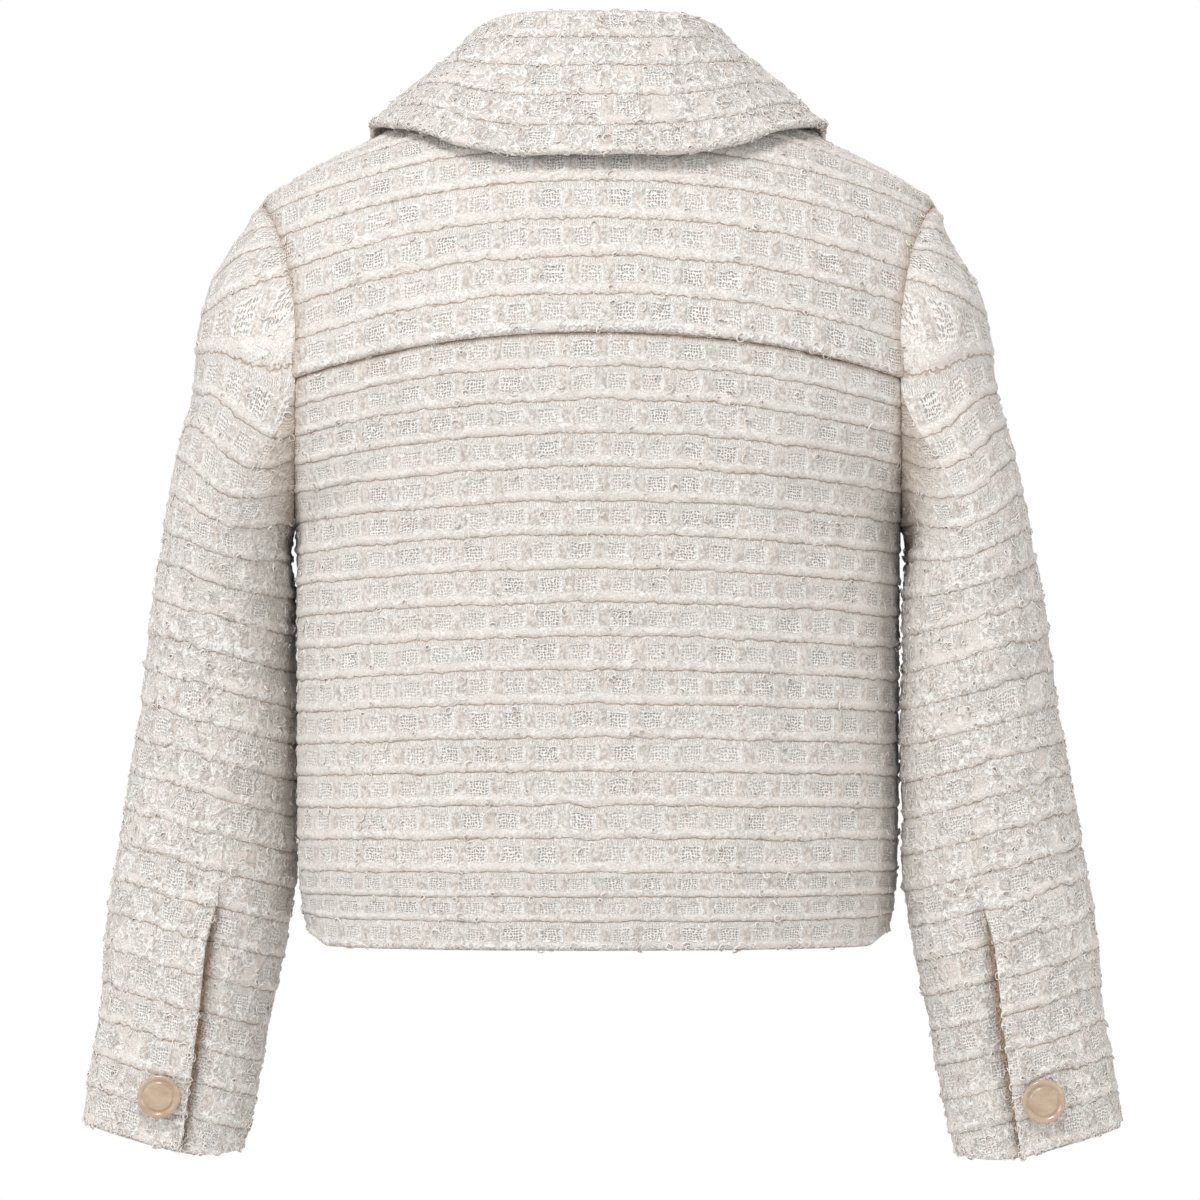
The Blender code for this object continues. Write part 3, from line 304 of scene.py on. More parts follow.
def curve_through(rows, key, value):
    """A smooth function through two columns of a table that never overshoots its own values."""
    xs = np.array([getattr(row, key) for row in rows], float)
    ys = np.array([getattr(row, value) for row in rows], float)
    steps = np.diff(xs)
    slopes = np.diff(ys) / steps
    tangents = np.zeros(len(xs))
    for i in range(1, len(xs) - 1):
        if slopes[i - 1] * slopes[i] > 0:
            left = 2 * steps[i] + steps[i - 1]
            right = steps[i] + 2 * steps[i - 1]
            tangents[i] = (left + right) / (left / slopes[i - 1] + right / slopes[i])
    tangents[0] = slopes[0]
    tangents[-1] = slopes[-1]

    def value_at(x):
        x = np.clip(x, xs[0], xs[-1])
        i = np.clip(np.searchsorted(xs, x) - 1, 0, len(steps) - 1)
        t = (x - xs[i]) / steps[i]
        start = (1 + 2 * t) * (1 - t) ** 2 * ys[i] + t * (1 - t) ** 2 * steps[i] * tangents[i]
        end = t * t * (3 - 2 * t) * ys[i + 1] + t * t * (t - 1) * steps[i] * tangents[i + 1]
        return start + end

    return value_at


def smooth_step(value, low, high):
    t = np.clip((value - low) / (high - low), 0.0, 1.0)
    return t * t * (3 - 2 * t)


def unit(vectors):
    return vectors / np.maximum(np.linalg.norm(vectors, axis=-1, keepdims=True), 1e-9)


def signed_power(value, power):
    return np.sign(value) * np.abs(value) ** power


def lengths_along(points):
    """Distance along each line of points, over the last but one axis."""
    steps = np.linalg.norm(np.diff(points, axis=-2), axis=-1)
    start = np.zeros(steps.shape[:-1] + (1,))
    return np.concatenate([start, np.cumsum(steps, axis=-1)], axis=-1)


def points_at(at, lengths, line):
    """Points of a polyline at these distances along it, where lengths gives each corner's own."""
    return np.stack([np.interp(at, lengths, column) for column in line.T], axis=-1)


def along_line(points, shares):
    """Points at these shares of a polyline's length."""
    points = np.array(points)
    lengths = lengths_along(points)
    return points_at(np.array(shares) * lengths[-1], lengths, points)


def scatter_value(*cells):
    """A repeatable number from 0 to 1 for each whole-number cell."""
    total = np.zeros(np.broadcast(*cells).shape)
    for cell, weight in zip(cells, (127.1, 311.7, 74.7)):
        total = total + np.asarray(cell, float) * weight
    value = np.sin(total) * 43758.5453
    return value - np.floor(value)


def soft_noise(x, y=0.0, seed=0.0):
    """Smooth repeatable noise from -1 to 1 over a plane whose cells are 1 across."""
    x, y = np.broadcast_arrays(np.asarray(x, float), np.asarray(y, float))
    x0, y0 = np.floor(x), np.floor(y)
    fx, fy = x - x0, y - y0
    fx = fx * fx * (3 - 2 * fx)
    fy = fy * fy * (3 - 2 * fy)
    low = scatter_value(x0, y0, seed) * (1 - fx) + scatter_value(x0 + 1, y0, seed) * fx
    high = scatter_value(x0, y0 + 1, seed) * (1 - fx) + scatter_value(x0 + 1, y0 + 1, seed) * fx
    return 2 * (low * (1 - fy) + high * fy) - 1


def weave_rows(grooves, top, bottom, widest=None):
    """Levels for the rows of a mesh, from top to bottom, and where each lies in the weave.

    grooves are the levels of the weave's grooves from the top down, and a whole number in the
    second result is a groove. widest gives the most that two rows may lie apart at a level.
    """
    grooves = np.array(grooves, float)
    inside = []
    for high, low in zip(grooves, grooves[1:]):
        shares = np.array(ROW_SHARES + (1.0,))
        if widest:
            apart = (high - low) / len(ROW_SHARES)
            parts = max(math.ceil(apart / widest((high + low) / 2)), 1)
            fine = np.arange(len(ROW_SHARES) * parts + 1) / parts
            shares = np.interp(fine, np.arange(len(shares)), shares)
        inside += list(high + shares[:-1] * (low - high))
    inside = np.array(inside)
    clear = EDGE_STEPS[-1] + 0.5
    inside = inside[(inside < top - clear) & (inside > bottom + clear)]
    levels = [top - d for d in EDGE_STEPS] + list(inside)
    levels += [bottom + d for d in EDGE_STEPS[::-1]]
    levels = np.array(levels)
    return levels, np.interp(-levels, -grooves, np.arange(len(grooves), dtype=float))


def places_along(low, high, count):
    """count places from low to high for each row, closer together near both ends."""
    near = low[:, None] + np.array(EDGE_STEPS)
    far = high[:, None] - np.array(EDGE_STEPS)[::-1]
    share = np.linspace(0, 1, count - 2 * len(EDGE_STEPS) + 2)[1:-1]
    middle = near[:, -1:] + (far[:, :1] - near[:, -1:]) * share
    return np.concatenate([near, middle, far], axis=1)


def groove_wave(across, rows, seed, loose=0.0):
    """How far each row of the weave wanders up or down, as a share of a row."""
    k = np.floor(rows + 1e-6)
    share = rows - k
    total = 0
    for row, part in ((k, 1 - share), (k + 1, share)):
        wide = soft_noise(across / 21.0, row * 3.7, seed)
        narrow = soft_noise(across / 7.5, row * 5.1, seed + 3)
        small = soft_noise(across / 3.4, row * 7.7, seed + 4)
        total = total + part * (0.6 * wide + 0.5 * narrow + 0.4 * small)
    return GROOVE_WAVE * (1 + 1.5 * loose) * total


def slide_rows(grid, rows, moved):
    """The grid with each point moved along its column to where rows says moved."""
    i = np.clip(np.searchsorted(rows, moved) - 1, 0, len(rows) - 2)
    share = np.clip((moved - rows[i]) / np.maximum(rows[i + 1] - rows[i], 1e-9), 0, 1)
    column = np.arange(grid.shape[1])[None, :]
    share = share.reshape(share.shape + (1,) * (grid.ndim - 2))
    return grid[i, column] * (1 - share) + grid[i + 1, column] * share


def motif_place(across, rows, seed):
    """Place along the weave in motifs. Its whole part counts windows, row by row."""
    k = np.floor(rows + 1e-6)
    drift = 0.16 * soft_noise(k * 0.45, 0.0, seed + 11) + 0.10 * (scatter_value(k, seed) - 0.5)
    wander = 0.13 * soft_noise(across / 34.0, k * 2.3, seed + 17)
    return across / MOTIF_WIDTH + drift + wander


def bump_between(value, low, high, soft):
    risen = smooth_step(value, low - soft, low + soft)
    return risen * (1 - smooth_step(value, high - soft, high + soft))


def weave_relief(motif, rows, seed, loose):
    """Height of the weave off the cloth. A loose weave is lumpier, and hides its windows."""
    f = motif - np.floor(motif)
    w = rows - np.floor(rows + 1e-6)
    cell = np.floor(motif)
    k = np.floor(rows + 1e-6)
    x, y = motif * MOTIF_WIDTH, rows * MOTIF_WIDTH
    swell = soft_noise(x / 9.0, k * 4.1, seed + 5) + 0.7 * soft_noise(x / 3.9, k * 6.3, seed + 7)
    lumps = soft_noise(x / 6.5, y / 4.2, seed + 31) + 0.8 * soft_noise(x / 3.1, y / 2.6, seed + 33)
    slub = np.sin(np.pi * np.clip((w - 0.68) / 0.30, 0, 1)) ** 0.8
    height = SLUB_HEIGHT * slub * (1 + 0.42 * swell) * (1 - 0.1 * loose)
    to_groove = np.minimum(w, 1 - w)
    in_groove = np.exp(-((to_groove / 0.036) ** 2)) * (0.9 + 0.45 * swell)
    height -= GROOVE_DEPTH * in_groove * (1 - 0.5 * loose)
    height += 0.35 * bump_between(w, 0.06, 0.19, 0.03) * (1 + 0.5 * swell)
    shown = 1 - loose * (scatter_value(cell, k, seed + 40) > 0.35)
    in_window = bump_between(w, 0.26, 0.65, 0.035) * shown
    grown = 0.05 * (scatter_value(cell, k, seed) - 0.5)
    window = bump_between(f, 0.07 - grown, 0.66 + grown, 0.035) * in_window
    column = 1 - bump_between(f, 0.03 - grown, 0.69 + grown, 0.04)
    column = column * bump_between(w, 0.2, 0.7, 0.04)
    column_swell = 0.5 + 0.9 * scatter_value(cell, k, seed + 2)
    height += column * column_swell * 0.5 - window * 0.3
    height += 0.25 * bump_between(f, 0.0, 0.07, 0.03) * bump_between(w, 0.22, 0.68, 0.03)
    fuzz = soft_noise(x / 1.9, y / 1.8, seed + 21)
    height += (0.16 + 0.34 * loose) * lumps * (1 - 0.8 * window)
    return height + 0.12 * fuzz * (1 - 0.5 * window)


def fold_height(across, level, folds):
    """Height of the soft folds at each place."""
    total = np.zeros(np.broadcast(across, level).shape)
    for fold in folds:
        turn = math.radians(fold.turn)
        dx, dz = across - fold.across, level - fold.down
        along = -dx * math.sin(turn) + dz * math.cos(turn)
        beside = dx * math.cos(turn) + dz * math.sin(turn)
        beside = beside + 0.12 * fold.wide * np.sin(along / 17.0)
        total += fold.high * np.exp(-((along / fold.long) ** 2) - (beside / fold.wide) ** 2)
    return total


def grid_normals(points, outward):
    """Unit normals of a grid, all turned to the side that outward points to at its middle."""
    down = np.gradient(points, axis=0)
    across = np.gradient(points, axis=1)
    normals = unit(np.cross(down, across))
    i, j = points.shape[0] // 2, points.shape[1] // 2
    return normals if np.dot(normals[i, j], outward) > 0 else -normals


def put_in(name, data):
    """A new object with this data, in the scene."""
    made = bpy.data.objects.new(name, data)
    bpy.context.scene.collection.objects.link(made)
    return made


def smooth_mesh(name, bm):
    """A smooth mesh from bm, with its faces pointing outwards."""
    bmesh.ops.recalc_face_normals(bm, faces=bm.faces)
    mesh = bpy.data.meshes.new(name)
    bm.to_mesh(mesh)
    bm.free()
    mesh.shade_smooth()
    return mesh


# ---- making a cloth shell -------------------------------------------------------------------

# How each edge of a piece is finished: "seam" dips into its neighbour, "joined" runs a little way
# into it, "free" is a rounded fold, "under" lies beneath another piece, and "vent" lies flush
# above the vent and is a free edge along it. "resting" is a fold that rests on the piece below.
Edges = namedtuple("Edges", "top bottom first last")
Finish = namedtuple("Finish", "outer inner weave shade curl")
SHEETS = []


def seam_finish(distance, dip):
    near = np.clip(1 - distance / SEAM_REACH, 0, 1)
    weave = smooth_step(distance, -0.8, SEAM_REACH)
    return Finish(-dip * near**2, 0 * near, weave, 0.5 * np.exp(-((distance / 4.0) ** 2)), weave)


def free_finish(distance):
    near = np.clip(1 - distance / EDGE_ROUND, 0, 1)
    rounded = EDGE_ROUND * (1 - np.sqrt(1 - near**2))
    weave = smooth_step(distance, -0.6, 1.5)
    return Finish(-rounded, rounded * 0.2, weave, 0 * near, 1 + EDGE_CURLS * (distance < 3.2))


def edge_finish(distance, kind, vent):
    if kind == "free":
        return free_finish(distance)
    if kind == "seam":
        return seam_finish(distance, SEAM_DIP)
    if kind == "joined":
        made = seam_finish(distance, 0.25)
        weave = smooth_step(distance, -0.8, 1.8)
        return made._replace(weave=weave, shade=0.5 * np.exp(-((distance / 6.0) ** 2)))
    if kind == "vent":
        seam, free = Finish(0, 0, 1, 0, 1), free_finish(distance)
        return Finish(*(a * (1 - vent) + b * vent for a, b in zip(seam, free)))
    if kind == "resting":
        made = free_finish(distance)
        return made._replace(inner=-REST_FILL * (1 - smooth_step(distance, 1.0, 6.0)))
    plain = smooth_step(distance, 0.0, 3.0)
    return Finish(0 * plain, 0 * plain, plain, 0 * plain, plain)


def run_past(base, edges):
    """The grid with its joined edges moved on a little way, so that no light shows between."""
    base = base.copy()
    for edge, at, next_in in ((edges.first, 0, 2), (edges.last, -1, -3)):
        if edge == "joined":
            base[:, at] += unit(base[:, at] - base[:, next_in]) * JOIN_OVER
    if edges.top == "joined":
        base[0] += unit(base[0] - base[2]) * JOIN_OVER
    return base


def shell(name, base, offset, motif, rows, edges, outward, **options):
    """A closed thin shell of tweed on a grid of points, with the weave raised on its outer face.

    offset is how far the cloth stands off the grid. normals, side, thickness, seed, loose, vent,
    curl, shade and seam_shade may be given besides.
    """
    thickness = options.get("thickness", CLOTH)
    loose = options.get("loose", 0.0)
    normals = options.get("normals")
    normals = grid_normals(base, outward) if normals is None else normals
    down = lengths_along(base.transpose(1, 0, 2)).T
    across = lengths_along(base)
    distances = (down, down[-1:] - down, across, across[:, -1:] - across)
    share, curl = np.ones(down.shape), np.zeros(down.shape) + options.get("curl", 0.3)
    outer_add, inner_add = np.zeros(down.shape), np.zeros(down.shape)
    shade = np.zeros(down.shape) + options.get("shade", 0.0)
    for distance, kind in zip(distances, edges):
        made = edge_finish(distance, kind, options.get("vent", 0.0))
        outer_add += made.outer
        inner_add += made.inner
        share *= made.weave
        curl *= made.curl
        shade = np.maximum(shade, made.shade * options.get("seam_shade", 1.0))
    base = run_past(base, edges)
    height = weave_relief(motif, rows, options.get("seed", 1.0), loose) * share
    outer = base + normals * (offset + height + outer_add)[..., None]
    inner = base + normals * (offset - thickness + inner_add)[..., None]
    side = np.array([options.get("side", 1), 1, 1])
    piece = closed_shell(name, outer * side, inner * side, motif, rows, shade, curl)
    cells = np.cross(base[1:, 1:] - base[:-1, :-1], base[1:, :-1] - base[:-1, 1:])
    area = np.linalg.norm(cells, axis=2).sum() / 2
    flat = (across[:, -1].max(), down[-1].max())
    SHEETS.append((piece, name.replace("tweed_", ""), flat, area))
    return piece


def grid_faces(index):
    quads = np.stack([index[:-1, :-1], index[1:, :-1], index[1:, 1:], index[:-1, 1:]], axis=-1)
    return quads.reshape(-1, 4).tolist()


def closed_shell(name, outer, inner, motif, rows, shade, curl):
    """The mesh: a fine outer grid, a plain inner grid with fewer rows, and the rims between."""
    count, columns = outer.shape[:2]
    kept = [0, 3] + list(range(INNER_STEP, count - 8, INNER_STEP)) + [count - 4, count - 1]
    points = np.concatenate([outer.reshape(-1, 3), inner[kept].reshape(-1, 3)])
    marks = np.stack([motif, rows], axis=-1)
    marks = np.concatenate([marks.reshape(-1, 2), marks[kept].reshape(-1, 2)])
    out = np.arange(count * columns).reshape(count, columns)
    back = count * columns + np.arange(len(kept) * columns).reshape(len(kept), columns)
    faces = grid_faces(out)
    rims = []
    for j in range(columns - 1):
        rims.append((out[0, j + 1], out[0, j], back[0, j], back[0, j + 1]))
        rims.append((out[-1, j], out[-1, j + 1], back[-1, j + 1], back[-1, j]))
    for j in (0, columns - 1):
        side = []
        for n, (low, high) in enumerate(zip(kept, kept[1:])):
            middle = (low + high) // 2
            side += [(back[n, j], out[i + 1, j], out[i, j]) for i in range(low, middle)]
            side.append((back[n, j], back[n + 1, j], out[middle, j]))
            side += [(back[n + 1, j], out[i + 1, j], out[i, j]) for i in range(middle, high)]
        rims += side if j == 0 else [face[::-1] for face in side]
    inner_faces = [face[::-1] for face in grid_faces(back)]
    mesh = bpy.data.meshes.new(name)
    mesh.from_pydata((points * MM).tolist(), [], faces + rims + inner_faces)
    slots = np.zeros(len(mesh.polygons), np.int32)
    slots[len(faces) + len(rims):] = 1
    mesh.polygons.foreach_set("material_index", slots)
    weave = mesh.uv_layers.new(name="weave")
    corner = np.zeros(len(mesh.loops), np.int32)
    mesh.loops.foreach_get("vertex_index", corner)
    weave.data.foreach_set("uv", marks[corner].astype(np.float32).ravel())
    for key, value, inside in (("shade", shade, shade), ("curl", curl, 0 * curl)):
        layer = mesh.attributes.new(key, "FLOAT", "POINT")
        layer.data.foreach_set("value", np.concatenate([value.ravel(), inside[kept].ravel()]))
    bm = bmesh.new()
    bm.from_mesh(mesh)
    bmesh.ops.recalc_face_normals(bm, faces=bm.faces)
    if bm.calc_volume(signed=True) < 0:
        bmesh.ops.reverse_faces(bm, faces=bm.faces)
    bm.to_mesh(mesh)
    bm.free()
    mesh.shade_smooth()
    return put_in(name, mesh)


# ---- the body -------------------------------------------------------------------------------


class BodyHalf:
    """The back (facing = 1) or the front (facing = -1) of the body, as a function."""

    def __init__(self, rows, facing):
        self.facing = facing
        for column in BodyRow._fields[1:]:
            setattr(self, column, curve_through(rows, "level", column))
        self.shoulder = self.lay_out_shoulder()

    def half_width(self, level):
        power = self.roundness(level)
        cut = (self.edge_y(level) / self.depth(level)) ** power
        return self.edge_x(level) / (1 - cut) ** (1 / power)

    def point(self, level, angle):
        """angle is 0 at the side and 90 degrees at the centre, in radians, for +X."""
        power = self.roundness(level)
        x = self.half_width(level) * signed_power(np.cos(angle), 2 / power)
        y = self.depth(level) * signed_power(np.sin(angle), 2 / power)
        drop = self.drop(level) * (np.abs(x) / DROP_X) ** self.drop_power(level)
        near_hem = smooth_step(HEM_LEVEL + HEM_CORNER_HEIGHT - level, 0, HEM_CORNER_HEIGHT)
        lift = HEM_CORNER_LIFT * near_hem * smooth_step(np.abs(x), *HEM_CORNER_X)
        return np.stack(np.broadcast_arrays(x, self.facing * y, level - drop + lift), axis=-1)

    def normal(self, level, angle):
        along = self.point(level + 3.0, angle) - self.point(level - 3.0, angle)
        across = self.point(level, angle + 0.03) - self.point(level, angle - 0.03)
        normal = unit(np.cross(along, across))
        outward = np.array([math.cos(angle), self.facing * math.sin(angle), 0.25])
        return normal if np.dot(normal, outward) > 0 else -normal

    def edge_angle(self, level):
        power = self.roundness(level)
        return np.arcsin(np.minimum((self.edge_y(level) / self.depth(level)) ** (power / 2), 1.0))

    def angle_of_x(self, level, x):
        power = self.roundness(level)
        share = np.minimum(np.abs(x) / self.half_width(level), 1.0)
        angle = np.arccos(share ** (power / 2))
        return np.where(np.asarray(x) >= 0, angle, math.pi - angle)

    def lay_out_shoulder(self):
        """Over the shoulder the weave runs on straight: tables of its place by x and level."""
        levels = np.linspace(SHOULDER_BEND, 0, 90)
        xs = np.linspace(0, 204, 103)
        angles = self.angle_of_x(levels[:, None], xs[None, :])
        line = self.point(levels[:, None], angles)
        up = lengths_along(line[..., 1:].transpose(1, 0, 2)).T
        low = self.point(SHOULDER_BEND, self.angle_of_x(SHOULDER_BEND, xs))
        return up, np.concatenate([[0], np.cumsum(np.linalg.norm(np.diff(low, axis=0), axis=1))])

    def weave_place(self, points, levels, across, rows):
        """Distance across and row of the weave, straightened over the shoulder."""
        up, along = self.shoulder
        x = np.clip(np.abs(points[..., 0]) / 2.0, 0, 101.99)
        y = np.clip((levels[:, None] - SHOULDER_BEND) / -SHOULDER_BEND * 89, 0, 88.99)
        x, y = np.broadcast_arrays(x, y)
        i, j = y.astype(int), x.astype(int)
        fi, fj = y - i, x - j
        rise = (up[i, j] * (1 - fj) + up[i, j + 1] * fj) * (1 - fi)
        rise = rise + (up[i + 1, j] * (1 - fj) + up[i + 1, j + 1] * fj) * fi
        above = levels[:, None] > SHOULDER_BEND
        bend_row = np.interp(-SHOULDER_BEND, -np.array(ALL_GROOVES), np.arange(len(ALL_GROOVES)))
        straight = np.sign(points[..., 0]) * np.interp(x, np.arange(len(along)), along)
        rows = np.where(above, bend_row - rise / YOKE_PITCH, rows[:, None])
        return np.where(above, straight, across), rows


YOKE_GROOVES = [YOKE_LEVEL + k * YOKE_PITCH for k in range(8, 0, -1)]
BODY_GROOVES = [YOKE_LEVEL - k * BODY_PITCH for k in range(17)]
ALL_GROOVES = YOKE_GROOVES + BODY_GROOVES + list(HEM_GROOVES) + [HEM_LEVEL + 0.8, HEM_LEVEL - 14]
BACK = BodyHalf(BACK_ROWS, 1)
FRONT = BodyHalf(FRONT_ROWS, -1)


def neck_front_x(level):
    """Half the width of the neck opening at this level of the front."""
    down = np.clip(level / NECK_FRONT_LEVEL, 0.0, 1.0)
    return NECK_HALF_WIDTH * (1 - down**2.2) ** (1 / 2.2)


def shoulder_step(level):
    """The rows lie closer together over the shoulder, where each level reaches far."""
    return 0.45 if level > -42 else (1.0 if level > -60 else 9.0)


def body_piece(name, half, top, bottom, start_of, offset_of, edges, folds, seed, side=1,
               shade_of=None):
    """One cut piece of the body, from its first angle at each level to its edge for +X."""
    levels, rows = weave_rows(ALL_GROOVES, top, bottom, shoulder_step)
    last = half.edge_angle(levels)
    share = np.linspace(0, 1, BODY_SAMPLES)
    whole = math.pi - last[:, None] + (2 * last - math.pi)[:, None] * share
    lines = half.point(levels[:, None], whole)
    lengths = lengths_along(lines)
    start, start_gap = start_of(levels)
    low = np.array([np.interp(-a, -w, l) for a, w, l in zip(start, whole, lengths)])
    low = low + start_gap
    high = lengths[:, -1]
    count = int((high - low).max() / COLUMN_STEP) + 2 * len(EDGE_STEPS)
    places = places_along(low, high, count)
    across = lengths[:, -1:] / 2 - places
    angles = np.stack([np.interp(p, l, w) for p, l, w in zip(places, lengths, whole)])
    base = half.point(levels[:, None], angles)
    across, row_grid = half.weave_place(base, levels, -across, rows)
    from_ends = np.minimum(rows - rows[0], rows[-1] - rows)[:, None]
    inward = np.minimum(places - low[:, None], high[:, None] - places)
    fade = smooth_step(from_ends, 0.05, 0.5) * smooth_step(inward, 0, WAVE_CLEAR)
    wave = groove_wave(across, row_grid, seed) * fade * (levels[:, None] < SHOULDER_BEND)
    base = slide_rows(base, rows, rows[:, None] + wave)
    level_grid = levels[:, None] + 0 * across
    offset = offset_of(level_grid, base)
    soft = fold_height(base[..., 0], level_grid, folds)
    offset = offset + soft * smooth_step(inward, 0, FOLD_CLEAR)
    motif = motif_place(across, row_grid, seed)
    outward = np.array([0, half.facing, 0])
    return shell(name, base, offset, motif, row_grid, edges, outward, side=side, seed=seed,
                 shade=shade_of(level_grid) if shade_of else 0.0)


def whole_width(levels):
    return math.pi - BACK.edge_angle(levels), 0.0


def add_back():
    def sink(level, base):
        return -YOKE_SINK * smooth_step(level, YOKE_LEVEL - 7, YOKE_LEVEL + 1)

    def shade(level):
        return 0.5 * smooth_step(level, YOKE_LEVEL - 5, YOKE_LEVEL + 1)

    edges = Edges("under", "free", "joined", "joined")
    top = YOKE_LEVEL + YOKE_LAP
    body_piece("tweed_back_panel", BACK, top, HEM_LEVEL, whole_width, sink, edges, BACK_FOLDS, 1.0,
               shade_of=shade)


def add_yoke():
    def rise(level, base):
        return LAP_RISE * (1 - smooth_step(level, YOKE_LEVEL + YOKE_LAP, YOKE_LEVEL + 30))

    edges = Edges("under", "resting", "joined", "joined")
    body_piece("tweed_back_yoke", BACK, 0.0, YOKE_LEVEL, whole_width, rise, edges, YOKE_FOLDS, 2.0)


def add_front(name, side, over, seed):
    """over is True for the front that lies on top at the centre."""

    def start_of(levels):
        in_neck = levels > NECK_FRONT_LEVEL
        neck = FRONT.angle_of_x(levels, np.maximum(neck_front_x(levels), 0.5))
        lap = FRONT.angle_of_x(levels, -FRONT_LAP)
        return np.where(in_neck, neck, lap), np.where(in_neck, NECK_GAP, 0.0)

    def lap(level, base):
        in_lap = smooth_step(-base[..., 0], -FRONT_LAP - LAP_EASE, -FRONT_LAP)
        return (LAP_RISE if over else -LAP_SINK) * in_lap

    edges = Edges("under", "free", "free" if over else "under", "joined")
    body_piece(name, FRONT, -3.0, HEM_LEVEL, start_of, lap, edges, FRONT_FOLDS, seed, side)


# ---- the sleeves ----------------------------------------------------------------------------

DOWN_ARM = np.array([math.sin(SLEEVE_TILT), 0, -math.cos(SLEEVE_TILT)])
ACROSS_ARM = np.array([math.cos(SLEEVE_TILT), 0, math.sin(SLEEVE_TILT)])
SHOULDER_TIP = BACK.point(SHOULDER_TIP_LEVEL, 0.0)
SLEEVE = {c: curve_through(SLEEVE_ROWS, "down", c) for c in SleeveRow._fields[1:]}
SLEEVE_GROOVES = [VENT_TOP_DOWN + k * SLEEVE_PITCH for k in range(-20, 9)]


def down_of(point):
    return np.dot(point - SHOULDER_TIP, DOWN_ARM)


def armhole_table(half):
    """(distances down the arm, levels) of the armhole's edge on one half of the body."""
    levels = np.linspace(SHOULDER_TIP_LEVEL, UNDERARM_LEVEL, 220)
    return np.maximum.accumulate(down_of(half.point(levels, half.edge_angle(levels)))), levels


ARMHOLES = {1: armhole_table(BACK), -1: armhole_table(FRONT)}
HALVES = {1: BACK, -1: FRONT}


def armhole_at(facing, down):
    """Point and body normal of the armhole's edge, this far down the arm."""
    downs, levels = ARMHOLES[facing]
    level = float(np.interp(down, downs, levels))
    half = HALVES[facing]
    angle = float(half.edge_angle(level))
    return half.point(level, angle), half.normal(level, angle)


def cap_top(count):
    """Points of the cap's cut edge where it runs over the shoulder tip, front to back."""
    downs = np.linspace(0, CAP_TOP_DOWN, 30)
    arc = [armhole_at(-1, down)[0] for down in downs[::-1]]
    arc += [armhole_at(1, down)[0] for down in downs]
    return along_line(arc, np.linspace(0, 1, count))


def pulled_rows(down, inward):
    """How far the armhole pulls the weave's rows down beside it, in rows."""
    near = 1 - smooth_step(inward, 0, 60)
    pulled = smooth_step(down, 40, 105) * (1 - smooth_step(down, 130, 260))
    return CAP_PULL * near * pulled / SLEEVE_PITCH


def looseness(down):
    """The sleeves' weave is even at the cap and looser further down."""
    return LOOSE_CAP + (LOOSE_SLEEVE - LOOSE_CAP) * smooth_step(down, 110, 260)


def lap_share(down):
    """How far the sleeve's back seam has turned into the vent's lap, from 0 to 1."""
    return smooth_step(down, VENT_TOP_DOWN - 12, VENT_TOP_DOWN - 1)


def armhole_shade(down):
    """The shade in a sleeve's seams, which belongs to the armhole and fades below it."""
    return 1 - smooth_step(down, NOTCH_DOWN, NOTCH_DOWN + 30)


